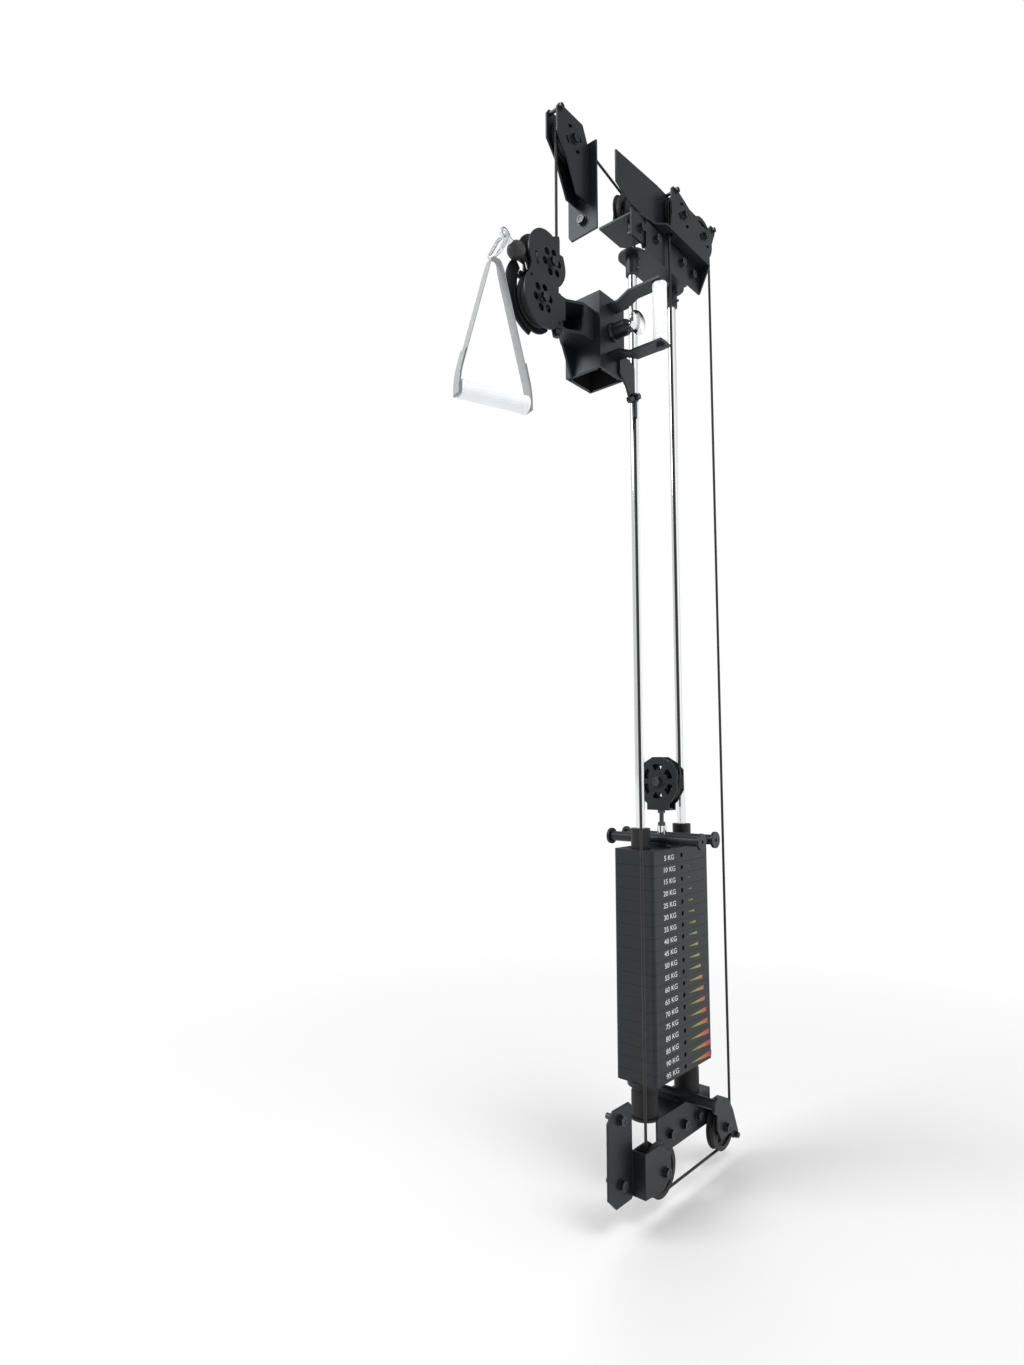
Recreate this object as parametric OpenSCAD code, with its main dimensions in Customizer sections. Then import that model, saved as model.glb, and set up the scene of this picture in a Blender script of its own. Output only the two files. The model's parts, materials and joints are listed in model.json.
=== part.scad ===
// Cable pulley attachment for strength training: a weight stack on two guide rods, nine pulleys,
// one cable, and a trolley with a swivel pulley head that slides on a square tube. Every place is
// measured from the centre line of that tube at the floor, +X outward, +Y rearward and +Z up, and
// the finished part is moved so that the middle of the base bolts is its origin.

/* [Square tubes it fits] */
// Side of the square tubes
tube_w = 75; // [75:0.5:76]
// Height of the underside of the top tube
top_tube_z = 2093; // [2043:1:2143]
// Height of the top of the bottom tube
base_tube_z = 165; // [160:1:170]
// Pitch of the bolts along the tubes
hole_pitch = 60; // [58:1:62]
// Diameter of the frame bolts
bolt_d = 12; // [10:1:12]

/* [Cable and pulleys] */
// Diameter of the coated cable
cable_d = 6; // [5:0.5:6]
// Radius from a pulley's centre to the cable's centre
pitch_r = 48.5; // [48:0.5:50]
// The same for the pulley over the trolley
top_pitch_r = 43; // [40:0.5:44]
// Width of a pulley's rim
rim_w = 18; // [16:1:19]
// How far a pulley's rim stands past the cable's centre
rim_lip = 3; // [2.5:0.25:3.25]
// Diameter of the pulley axles
axle_d = 12; // [10:1:14]
// Gap between two pulley cheeks
cheek_gap = 24; // [24:0.5:25]
// Height of the upper pulley centres above the top tube
upper_pulley_up = 69; // [68:0.5:74]
// Height of the lower pulley centres
lower_pulley_z = 83.5; // [83:0.5:88]

/* [Plates and sheet] */
// Thickness of the brackets bolted to the tubes
bracket_t = 5; // [4:0.5:5]
// Thickness of the pulley cheeks
cheek_t = 4; // [3:0.5:4.5]

/* [Weight stack] */
// Distance of the stack's centre plane outward from the front tube's centre
stack_x = 8; // [7:0.5:9]
// Distance of the stack's centre rearward from the front tube's centre
stack_y = 232; // [231:1:234]
// Distance between the two guide rods
rod_spacing = 179; // [176:1:182]
// Diameter of the guide rods
rod_d = 20; // [18:1:21]
// Depth of a weight plate, across the frame
plate_w = 98; // [90:1:100]
// Length of a weight plate, along the frame
plate_l = 244; // [240:1:248]
// Height of one weight plate
plate_t = 24.6; // [24:0.1:24.8]
// Distance from one weight plate to the next
plate_pitch = 25; // [25:0.1:25.4]
// Number of weight plates below the head plate
plate_n = 18; // [10:1:18]
// Height of the head plate
head_plate_t = 32; // [28:1:34]
// Height of the rubber bumpers under the stack
bumper_h = 62; // [58:1:64]
// Height of the steel discs that the stack stands on
disc_h = 10; // [8:1:12]

/* [Trolley] */
// Thickness of the wear strips inside the trolley's square sleeve
liner_t = 3.5; // [3.25:0.25:4]
// Wall of the sleeve
sleeve_t = 4.5; // [4:0.25:4.75]
// Height of the sleeve
sleeve_h = 169; // [165:1:172]
// Height of the sleeve's lower edge as parked
sleeve_z = 1738; // [1700:1:1745]
// Distance from the front tube's centre to the swivel axis
swivel_y = 135; // [134:1:136]
// Reach of the grab handle from the front tube's centre
grab_x = 163; // [155:1:175]

/* [Swivel head and handle] */
// Cable radius of the small upper pulley in the head
nip_r = 35; // [34:1:36]
// Outer radius of the large lower pulley in the head
guide_r = 52; // [50:0.5:52]
// Diameter of the ball that stops the cable end
ball_d = 37; // [34:1:38]
// Diameter of the hand grip's rubber
grip_d = 36; // [34:1:38]
// Length of the hand grip
grip_l = 142; // [136:1:146]
// Width of the handle's webbing
strap_w = 25; // [22:1:26]

/* [Hidden] */
$fn = 64;

// Gap between a turning or sliding fit and its shaft, and a loose gap beside a moving piece
run_gap = 0.08;
side_gap = 0.3;
// Gap between a wear strip and the tube that the trolley slides on
liner_gap = 0.5;
// Width of the holes that the frame bolts pass with play, and their reach into a tube
bolt_hole = bolt_d + 2.5;
bolt_reach = 28;

tube_r = tube_w / 2;
sleeve_w = tube_w + 2 * (liner_gap + liner_t + sleeve_t);
base_bolt_y = 248;
base_bolt_z = base_tube_z - 39;
top_bolt_z = top_tube_z + 45;
top_shelf_z = top_tube_z + tube_w;
top_bracket_bolt_z = top_tube_z - 8;
top_bracket_step = 50;
low_bracket_bolt_z = 93;
upper_pulley_z = top_shelf_z + upper_pulley_up;
cable_r = cable_d / 2;
rim_r = pitch_r + rim_lip;
hub_w = cheek_gap - 2 * side_gap;

// The plane of the outer cable runs, and the places of its four pulleys
outer_x = stack_x + pitch_r;
inner_x = stack_x - pitch_r;
wheel_a_y = stack_y + pitch_r;
wheel_b_y = wheel_a_y + 2 * rim_r + 1;
rear_strand_y = wheel_b_y + pitch_r;
lower_rear_y = wheel_b_y;
return_y = tube_r + 30;
lower_front_y = return_y + pitch_r;
// The planes of the cheeks on both sides of the outer cable runs, and the lug behind them
cheek_x0 = outer_x - cheek_gap / 2;
cheek_x1 = outer_x + cheek_gap / 2;
lug_y = rear_strand_y - 4;
retain_z = upper_pulley_z + 36;

// The top pulley over the trolley, and the inner one that turns the cable down to the stack
top_wheel_y = top_pitch_r - swivel_y;
inner_angle = atan2(inner_x, stack_y - top_wheel_y);
inner_wheel_x = inner_x + pitch_r * sin(-inner_angle);
inner_wheel_y = stack_y - pitch_r * cos(inner_angle);
inner_wheel_z = upper_pulley_z + top_pitch_r - pitch_r;
inner_foot = top_shelf_z + bracket_t / 2 - inner_wheel_z;

// Heights up the stack
rod_z = [base_tube_z, top_tube_z];
rod_y = [stack_y - rod_spacing / 2, stack_y + rod_spacing / 2];
flange_top = base_tube_z + bracket_t;
base_end_y = stack_y + 134;
disc_z = flange_top + bumper_h;
stack_z = disc_z + disc_h;
head_z = stack_z + plate_n * plate_pitch;
head_top = head_z + head_plate_t;
bushing_h = 44;
stack_wheel_z = head_top + 144;
bridge_t = 5;
bridge_z = stack_wheel_z - rim_r - 13;
pin_hole_up = 12.5;
selector_d = 22;
peg_d = 22;
peg_cap_d = 36;
peg_z = head_top + 17;
peg_off = 31;

// The swivel head, seen from the side: the upper pulley touches the swivel axis
nip_y = -swivel_y - nip_r;
nip_z = sleeve_z + 182;
guide_y = nip_y - 29;
guide_z = nip_z - 88;
head_t = cheek_t;
head_in = cheek_gap / 2;
ball_y = -swivel_y - 128;
ball_z = nip_z - 14;
exit_dir = atan2(ball_z - nip_z, ball_y - nip_y);
exit_reach = norm([ball_y - nip_y, ball_z - nip_z]);
exit_angle = 360 + exit_dir + acos(nip_r / exit_reach);
exit_y = nip_y + nip_r * cos(exit_angle);
exit_z = nip_z + nip_r * sin(exit_angle);
yoke_low = sleeve_z + 59;
yoke_high = sleeve_z + 124;
yoke_t = 6;
guard_r = 83;
guard_in_r = 74.3;
guard_t = 4;
guard_y = guide_y + 7;
guard_z = guide_z + 14;

// The hand grip hangs from the ball: eye, carabiner and strap
eye_y = ball_y - 34;
eye_z = ball_z + 16;
eye_tilt = atan2(eye_z - ball_z, ball_y - eye_y);
link_w = 36;
link_d = 7;
link_l = 76;
link_r = link_w / 2 - link_d / 2;
link_hang = 2.5;
link_y = eye_y - 30;
link_z = eye_z - 54;
grip_z = link_z - 283;
grip_turn = 70.8;
strap_top = eye_z - link_hang - (link_r + link_l - link_w + link_r) * cos(29.05) - grip_z
    - link_d / 2 - side_gap;

pin_z = sleeve_z + 92;
pin_d = 18;
anchor_z = sleeve_z - 33;

// Moves the part so that the middle of the base bolts is its origin
module placed() {
    translate([-tube_r, -base_bolt_y, -base_bolt_z]) children();
}

// Sheet cut from a list of [y, z] points, standing square to X from x0 to x0 + t
module sheet_x(points, x0, t) {
    translate([x0, 0, 0]) rotate([90, 0, 90]) linear_extrude(t) polygon(points);
}

// Sheet cut from a list of [x, z] points, standing square to Y from y0 to y0 + t
module sheet_y(points, y0, t) {
    translate([0, y0 + t, 0]) rotate([90, 0, 0]) linear_extrude(t) polygon(points);
}

// Round bar along X, Y or Z
module bar_x(x0, x1, y, z, d) {
    translate([x0, y, z]) rotate([0, 90, 0]) cylinder(d = d, h = x1 - x0);
}
module bar_y(y0, y1, x, z, d) {
    translate([x, y0, z]) rotate([-90, 0, 0]) cylinder(d = d, h = y1 - y0);
}
module bar_z(z0, z1, x, y, d) {
    translate([x, y, z0]) cylinder(d = d, h = z1 - z0);
}

// Round bar from point p to point q
module bar_between(p, q, d) {
    v = q - p;
    translate(p) rotate([0, acos(v[2] / norm(v)), atan2(v[1], v[0])]) cylinder(d = d, h = norm(v));
}

// Hexagon nut or head along +Z with its washer
module hex_head(d, h) {
    difference() {
        union() {
            cylinder(d = 1.9 * d, h = 0.15 * d);
            translate([0, 0, 0.15 * d]) cylinder(d = 1.75 * d, h = h, $fn = 6);
        }
        translate([0, 0, h + 0.15 * d - 1]) cylinder(d = 0.9 * d, h = 2);
    }
}

// Hexagon bolt that enters at the origin and runs down -Z for the length l
module hex_bolt(d, l) {
    hex_head(d, 0.6 * d);
    translate([0, 0, -l]) cylinder(d = d, h = l);
}

// Axle bolt along +X through two cheeks, from x0 to x1, with a thin head and a nut
module axle_x(x0, x1, y, z) {
    bar_x(x0, x1, y, z, axle_d);
    translate([x0, y, z]) rotate([0, -90, 0]) cylinder(d = 1.7 * axle_d, h = 3);
    translate([x1, y, z]) rotate([0, 90, 0]) hex_head(axle_d, 7);
}

// Grooved pulley about Z: hub, thin web with round holes, and rim
module wheel(pitch, rim, bore = axle_d) {
    gr = pitch - cable_r - 0.1;
    hub_r = bore / 2 + 6;
    web = 5;
    rw = rim_w / 2;
    gw = cable_r + 0.2;
    hole_d = (gr - 5 - hub_r) * 0.62;
    difference() {
        rotate_extrude() polygon([[bore / 2 + run_gap, -hub_w / 2], [hub_r, -hub_w / 2],
            [hub_r, -web], [gr - 5, -web], [gr - 5, -rw], [rim, -rw], [rim, 2 - rw], [gr, -gw],
            [gr, gw], [rim, rw - 2], [rim, rw], [gr - 5, rw], [gr - 5, web], [hub_r, web],
            [hub_r, hub_w / 2], [bore / 2 + run_gap, hub_w / 2]]);
        for (i = [0:5])
            rotate([0, 0, 60 * i + 30]) translate([(gr - 5 + hub_r) / 2, 0, -rim_w])
                cylinder(d = hole_d, h = 2 * rim_w);
    }
}

// Pulley whose axle lies along X, turned about Z by turn
module wheel_x(x, y, z, pitch, rim, turn = 0) {
    translate([x, y, z]) rotate([0, 0, turn]) rotate([0, 90, 0]) wheel(pitch, rim);
}

// Piece of cable bent round a pulley with its axle along X, between two angles from +Y
module wrap_x(x, y, z, r, a0, a1) {
    translate([x, y, z]) rotate([90, 0, 90]) rotate([0, 0, a0])
        rotate_extrude(angle = a1 - a0, $fn = 96) translate([r, 0]) circle(d = cable_d, $fn = 24);
}

// Six round holes about an axle in a cheek square to X, and the axle's own hole
module cheek_holes(y, z, ring, d) {
    bar_x(-300, 300, y, z, axle_d + 0.1);
    for (i = [0:5])
        bar_x(-300, 300, y + ring * cos(60 * i + 15), z + ring * sin(60 * i + 15), d);
}

// Curved slot about an axle, cut through a cheek square to X
module arc_slot(y, z, r, a0, a1, w) {
    translate([-300, y, z]) rotate([90, 0, 90]) rotate([0, 0, a0])
        rotate_extrude(angle = a1 - a0) translate([r - w / 2, 0]) square([w, 600]);
}

module base_bracket() {
    placed() color("dimgray") difference() {
        union() {
            sheet_x([[rod_y[0] - 6, base_tube_z], [rod_y[0] - 6, base_bolt_z - 4],
                [rod_y[0] + 21, base_bolt_z - 31], [base_end_y, base_bolt_z - 31],
                [base_end_y, base_tube_z]], tube_r, bracket_t);
            translate([0, 0, base_tube_z]) linear_extrude(bracket_t) union() {
                translate([stack_x, rod_y[0]]) circle(r = 32);
                translate([stack_x, rod_y[1]]) circle(r = 32);
                translate([stack_x - 32, rod_y[0]]) square([64, rod_spacing]);
                translate([stack_x, rod_y[0] - 6]) square([tube_r + bracket_t - stack_x,
                    base_end_y + 6 - rod_y[0]]);
            }
        }
        for (y = rod_y) bar_z(0, 300, stack_x, y, rod_d + 0.1);
        for (i = [-1:1])
            bar_x(0, 100, base_bolt_y + i * hole_pitch, base_bolt_z, bolt_hole);
    }
}

// All hexagon bolts that hold the brackets to the tubes, and the rod holder's clamp screws
module frame_bolts() {
    placed() color("dimgray") {
        for (i = [-1:1])
            translate([tube_r + bracket_t, base_bolt_y + i * hole_pitch, base_bolt_z])
                rotate([0, 90, 0]) hex_bolt(bolt_d, bracket_t + bolt_reach);
        for (i = [-2, 2])
            translate([tube_r + bracket_t, base_bolt_y + i * hole_pitch, top_bolt_z])
                rotate([0, 90, 0]) hex_bolt(bolt_d, bracket_t + bolt_reach);
        for (i = [-1, 1])
            translate([tube_r + 2 * bracket_t, base_bolt_y + i * hole_pitch, top_bolt_z])
                rotate([0, 90, 0]) hex_bolt(bolt_d, 2 * bracket_t + bolt_reach);
        for (z = [top_bracket_bolt_z, top_bracket_bolt_z + top_bracket_step])
            translate([0, -tube_r - bracket_t, z]) rotate([90, 0, 0])
                hex_bolt(bolt_d, bracket_t + bolt_reach);
        for (z = [low_bracket_bolt_z, low_bracket_bolt_z + 2 * hole_pitch])
            translate([tube_r + bracket_t, 0, z]) rotate([0, 90, 0])
                hex_bolt(bolt_d, bracket_t + bolt_reach);
        for (i = [-2, -1])
            translate([stack_x + 6, base_bolt_y + i * hole_pitch, top_shelf_z + bracket_t])
                hex_bolt(bolt_d, 24);
        for (y = rod_y)
            for (z = [top_tube_z - 38, top_tube_z - 18])
                bar_x(stack_x + rod_d / 2, stack_x + 21, y, z, 6);
    }
}

// Storage peg on the base, on its saddle
module base_peg() {
    placed() color("dimgray") {
        translate([stack_x - 30, stack_y + 3, flange_top]) cube([50, 22, 10]);
        difference() {
            bar_x(stack_x - 30, stack_x + 112, stack_y + 14, flange_top + 16, peg_d);
            translate([stack_x - 40, stack_y - 40, flange_top]) cube([60, 100, 10]);
        }
        translate([stack_x + 112, stack_y + 14, flange_top + 16]) rotate([0, 90, 0])
            cylinder(d = peg_cap_d, h = 6);
    }
}

module bumpers() {
    placed() color("black") for (y = rod_y) translate([stack_x, y, flange_top])
        rotate_extrude() polygon([[rod_d / 2 + 0.1, 0], [28, 0], [28, bumper_h - 14],
            [26, bumper_h - 8], [28, bumper_h - 2], [28, bumper_h], [rod_d / 2 + 0.1, bumper_h]]);
}

module bumper_discs() {
    placed() color("dimgray") for (y = rod_y) translate([stack_x, y, disc_z]) difference() {
        cylinder(d = 72, h = disc_h);
        translate([0, 0, -1]) cylinder(d = rod_d + 0.2, h = disc_h + 2);
    }
}

module guide_rods() {
    placed() color("silver") for (y = rod_y) bar_z(rod_z[0], rod_z[1], stack_x, y, rod_d);
}

// Angle bracket under the top tube that clamps the rods' upper ends
module rod_holder() {
    placed() color("dimgray") difference() {
        union() {
            sheet_x([[rod_y[0], top_tube_z - bracket_t], [rod_y[1] + 10, top_tube_z - bracket_t],
                [rod_y[1] + 10, top_tube_z + 70], [rod_y[0], top_tube_z + 70]],
                tube_r + bracket_t, bracket_t);
            translate([0, 0, top_tube_z - bracket_t]) linear_extrude(bracket_t) union() {
                for (y = rod_y) translate([stack_x, y]) circle(r = 32);
                translate([stack_x - 32, rod_y[0]]) square([64, rod_spacing]);
                translate([stack_x, rod_y[0]])
                    square([tube_r + bracket_t - stack_x, rod_spacing + 10]);
            }
            for (y = rod_y) bar_z(top_tube_z - bracket_t - 45, top_tube_z - bracket_t,
                stack_x, y, rod_d + 10);
        }
        for (y = rod_y) bar_z(top_tube_z - 100, top_tube_z + 10, stack_x, y, rod_d + 0.1);
        for (i = [-1, 1])
            bar_x(0, 100, base_bolt_y + i * hole_pitch, top_bolt_z, bolt_hole);
        for (y = rod_y)
            for (z = [top_tube_z - 38, top_tube_z - 18])
                bar_x(stack_x + rod_d / 2 - 1, stack_x + 40, y, z, 6.1);
    }
}

// One weight plate's outline with round corners and its rod holes
module plate_outline(rod_hole, mid_hole) {
    cr = 8;
    difference() {
        union() {
            translate([-plate_w / 2 + cr, -plate_l / 2]) square([plate_w - 2 * cr, plate_l]);
            translate([-plate_w / 2, -plate_l / 2 + cr]) square([plate_w, plate_l - 2 * cr]);
            for (i = [-1, 1])
                for (j = [-1, 1])
                    translate([i * (plate_w / 2 - cr), j * (plate_l / 2 - cr)]) circle(r = cr);
        }
        for (j = [-1, 1]) translate([0, j * rod_spacing / 2]) circle(d = rod_hole);
        if (mid_hole > 0) circle(d = mid_hole);
    }
}

module weight_plates() {
    placed() color("dimgray") for (i = [0:plate_n - 1])
        translate([stack_x, stack_y, stack_z + i * plate_pitch]) difference() {
            linear_extrude(plate_pitch) plate_outline(rod_d + 4, selector_d + 4);
            translate([0, 0, plate_t]) difference() {
                translate([-plate_w, -plate_l, 0]) cube([2 * plate_w, 2 * plate_l, plate_pitch]);
                translate([0, 0, -1]) cylinder(d = selector_d + 24, h = plate_pitch + 2);
            }
            bar_x(0, plate_w, 0, pin_hole_up, 10);
        }
}

module head_plate() {
    placed() color("dimgray") translate([stack_x, stack_y, head_z]) difference() {
        linear_extrude(head_plate_t) plate_outline(rod_d + 4, 0);
        bar_x(selector_d, plate_w, 0, 14, 10);
    }
}

// Selector rod that hangs from the head plate into the stack, with one hole for each plate
module selector_rod() {
    placed() color("silver") difference() {
        bar_z(stack_z + 3, head_z, stack_x, stack_y, selector_d);
        for (i = [0:plate_n - 1])
            bar_x(stack_x - 20, stack_x + 20, stack_y, stack_z + i * plate_pitch + pin_hole_up, 11);
    }
}

module head_bushings() {
    placed() color("gray") for (y = rod_y) translate([stack_x, y, head_top]) difference() {
        cylinder(d = 42, h = bushing_h);
        translate([0, 0, -1]) cylinder(d = rod_d + 2 * run_gap, h = bushing_h + 2);
    }
}

// Two bars across the head plate with flat end discs, each on its saddle
module head_pegs() {
    placed() color("dimgray") for (s = [-1, 1]) {
        y = stack_y + s * peg_off;
        translate([stack_x - 35, y - 9, head_top]) cube([70, 18, peg_z - head_top - peg_d / 2 + 4]);
        difference() {
            bar_x(stack_x - 112, stack_x + 112, y, peg_z, peg_d);
            translate([stack_x - 35, y - 9, head_top]) cube([70, 18, peg_z - head_top - peg_d / 2 + 4]);
        }
        for (e = [-1, 1]) translate([stack_x + e * 115 - 3, y, peg_z]) rotate([0, 90, 0])
            difference() {
                cylinder(d = peg_cap_d, h = 6);
                translate([0, 0, e > 0 ? 4 : -1]) cylinder(d = 8, h = 3);
            }
    }
}

// Chrome coupling, locking nuts and stud that join the stack pulley to the head plate
module stack_coupling() {
    placed() color("silver") translate([stack_x, stack_y, 0]) {
        difference() {
            bar_z(head_top, head_top + bushing_h, 0, 0, 21);
            translate([0, 0, head_top + 32]) bar_x(-20, 20, 0, 0, 4);
        }
        bar_z(head_top + bushing_h, bridge_z + bridge_t + 5, 0, 0, 10);
        translate([0, 0, head_top + bushing_h]) cylinder(d = 19, h = 8, $fn = 6);
        translate([0, 0, bridge_z - 7]) cylinder(d = 19, h = 7, $fn = 6);
        translate([0, 0, bridge_z + bridge_t]) cylinder(d = 19, h = 4, $fn = 6);
    }
}

// Two ten-sided cheeks of the stack pulley, each on a narrow foot, and the bridge that joins them
module stack_cheeks() {
    z = stack_wheel_z;
    half = [[28, bridge_z - z], [28, -50], [34, -45], [50, -19], [50, 26], [38, 40], [12, 55]];
    placed() color("dimgray") difference() {
        union() {
            for (y0 = [stack_y - head_in - cheek_t, stack_y + head_in])
                sheet_y(concat([for (p = half) [stack_x + p[0], z + p[1]]],
                    [for (i = [len(half) - 1:-1:0]) [stack_x - half[i][0], z + half[i][1]]]),
                    y0, cheek_t);
            translate([stack_x - 25, stack_y - head_in, bridge_z])
                cube([50, 2 * head_in, bridge_t]);
        }
        bar_z(bridge_z - 1, bridge_z + 9, stack_x, stack_y, 10.1);
        bar_y(stack_y - 40, stack_y + 40, stack_x, z, axle_d + 0.1);
        for (a = [30:60:330])
            translate([stack_x, stack_y + 40, z]) rotate([90, 0, 0]) rotate([0, 0, a - 19])
                rotate_extrude(angle = 38) translate([25, 0]) square([14, 80]);
    }
}

module stack_axle() {
    placed() color("dimgray") translate([stack_x, stack_y, stack_wheel_z]) {
        rotate([90, 0, 0]) translate([0, 0, -head_in - cheek_t])
            cylinder(d = axle_d, h = 2 * (head_in + cheek_t));
        rotate([90, 0, 0]) translate([0, 0, head_in + cheek_t]) hex_head(axle_d, 6);
        rotate([-90, 0, 0]) translate([0, 0, head_in + cheek_t]) hex_head(axle_d, 6);
    }
}

module stack_wheel() {
    placed() color("black") translate([stack_x, stack_y, stack_wheel_z]) rotate([90, 0, 0])
        wheel(pitch_r, rim_r);
}

// Angle bracket on the top tube: face plate, shelf that carries the pulley cheeks, end gusset
module upper_bracket() {
    y0 = base_bolt_y - 2 * hole_pitch - 39;
    y1 = base_bolt_y + 2 * hole_pitch + 41;
    placed() color("dimgray") difference() {
        union() {
            sheet_x([[y0, top_tube_z + 11], [y1, top_tube_z + 11], [y1, top_shelf_z],
                [y0, top_shelf_z]], tube_r, bracket_t);
            translate([0, 0, top_shelf_z]) linear_extrude(bracket_t)
                polygon([[tube_r, y0], [cheek_x0 + 9, y0 + 89], [cheek_x1 + cheek_t, y0 + 107],
                    [cheek_x1 + cheek_t, y1], [tube_r, y1]]);
            sheet_y([[tube_r + bracket_t, top_tube_z + 11], [cheek_x1 + cheek_t, top_shelf_z],
                [tube_r + bracket_t, top_shelf_z]], y1 - bracket_t, bracket_t);
        }
        bar_z(top_shelf_z - 5, top_shelf_z + 20, outer_x, stack_y, 18);
        for (i = [-2, -1, 1, 2])
            bar_x(0, 100, base_bolt_y + i * hole_pitch, top_bolt_z, bolt_hole);
    }
}

// Long inner cheek of the two upper pulleys, whose bare front end covers the inner pulley
module inner_cheek() {
    z = upper_pulley_z;
    placed() color("dimgray") difference() {
        sheet_x([[86, top_shelf_z + bracket_t], [26, z - 41], [26, z + 34], [201, z + 47],
            [lug_y + 10, z + 47], [lug_y + 10, z + 33], [wheel_b_y + 34, z - 10],
            [wheel_b_y + 14, top_shelf_z + bracket_t]],
            cheek_x0 - cheek_t, cheek_t);
        for (y = [wheel_a_y, wheel_b_y]) bar_x(0, 100, y, z, axle_d + 0.1);
        bar_x(0, 100, wheel_a_y - 37, retain_z + 8, 8.1);
        bar_x(0, 100, lug_y, retain_z + 2, 8.1);
    }
}

// Outer cheek of the two upper pulleys, cut low over the rear one
module outer_cheek() {
    z = upper_pulley_z;
    placed() color("dimgray") difference() {
        sheet_x([[wheel_a_y - 69, top_shelf_z + bracket_t], [wheel_a_y - 60, z - 22],
            [wheel_a_y - 60, z + 38], [wheel_a_y - 52, z + 47], [wheel_a_y - 28, z + 47],
            [wheel_b_y - 46, z + 20], [wheel_b_y + 12, z + 22], [lug_y - 10, z + 47],
            [lug_y + 10, z + 47], [lug_y + 10, z + 33], [wheel_b_y + 34, z - 10],
            [wheel_b_y + 14, top_shelf_z + bracket_t]],
            cheek_x1, cheek_t);
        for (y = [wheel_a_y, wheel_b_y]) {
            bar_x(0, 100, y, z, axle_d + 0.1);
            for (a = [30, 120, 210, 300]) arc_slot(y, z, 26, a - 16, a + 16, 7);
        }
        bar_x(0, 100, wheel_a_y - 37, retain_z + 8, 8.1);
        bar_x(0, 100, lug_y, retain_z + 2, 8.1);
    }
}

// Bracket on the top tube whose two turned cheeks hold the inner pulley
module inner_pulley_bracket() {
    placed() color("dimgray") difference() {
        union() {
            translate([0, 0, top_shelf_z]) linear_extrude(bracket_t)
                polygon([[inner_wheel_x - 24, 105], [tube_r - 1, 105], [tube_r - 1, 212],
                    [inner_wheel_x - 10, 212], [inner_wheel_x - 24, 195]]);
            translate([inner_wheel_x, inner_wheel_y, inner_wheel_z])
                rotate([0, 0, -inner_angle])
                for (x0 = [-head_in - cheek_t, head_in])
                    sheet_x([[-44, inner_foot], [-30, 20], [-14, 32], [14, 32], [26, 20],
                        [20, inner_foot]], x0, cheek_t);
        }
        for (i = [-2, -1])
            bar_z(top_shelf_z - 5, top_shelf_z + 20, stack_x + 6, base_bolt_y + i * hole_pitch,
                bolt_hole);
        translate([inner_wheel_x, inner_wheel_y, inner_wheel_z]) rotate([0, 0, -inner_angle])
            bar_x(-40, 40, 0, 0, axle_d + 0.1);
    }
}

// Bracket on the tube's front: base plate and two cheeks for the pulley over the trolley
module top_bracket() {
    z = upper_pulley_z;
    y = -tube_r - bracket_t;
    placed() color("dimgray") difference() {
        union() {
            sheet_y([[-38, z - 176], [-31, z - 187], [38, z - 184], [38, z + 19], [-38, z + 19]],
                y, bracket_t);
            for (x0 = [-head_in - cheek_t, head_in])
                sheet_x([[y, z + 17], [-60, z + 52], [-swivel_y - 7, z + 52],
                    [-swivel_y - 15, z + 40], [-swivel_y - 15, z - 15],
                    [-swivel_y + 15, z - 47], [-82, z - 119], [y, z - 118]], x0, cheek_t);
        }
        for (b = [top_bracket_bolt_z, top_bracket_bolt_z + top_bracket_step])
            bar_y(-60, 0, 0, b, bolt_hole);
        bar_x(-40, 40, top_wheel_y, z, axle_d + 0.1);
        for (a = [30, 120, 210, 300]) arc_slot(top_wheel_y, z, 26, a - 16, a + 16, 7);
        bar_x(-40, 40, -swivel_y - 4, retain_z + 7, 8.1);
    }
}

// Bracket on the tube's outer face for the front floor pulley
module lower_front_bracket() {
    z = low_bracket_bolt_z;
    y1 = tube_r + 2.5;
    placed() color("dimgray") difference() {
        union() {
            sheet_x([[-43, z + 125], [-24, z + 144], [y1 - 8, z + 144], [y1, z + 136],
                [y1, z - 36], [y1 - 4, z - 40], [-17, z - 40], [-43, z - 16]],
                tube_r, bracket_t);
            translate([tube_r, y1, z - 36]) cube([cheek_x1 + cheek_t - tube_r, 5, 86]);
            sheet_x([[y1 + 5, z + 50], [lower_front_y - 20, z + 50], [lower_front_y + 22, z + 22],
                [lower_front_y + 22, z - 22], [lower_front_y - 8, z - 42], [y1 + 5, z - 36]],
                cheek_x1, cheek_t);
            sheet_x([[y1 + 5, z + 50], [lower_front_y - 20, z + 50], [lower_front_y + 22, z + 22],
                [lower_front_y + 22, z - 22], [lower_front_y - 8, z - 42], [y1 + 5, z - 36]],
                cheek_x0 - cheek_t, cheek_t);
        }
        for (b = [z, z + 2 * hole_pitch]) bar_x(0, 60, 0, b, bolt_hole);
        bar_x(0, 100, lower_front_y, lower_pulley_z, axle_d + 0.1);
    }
}

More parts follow.
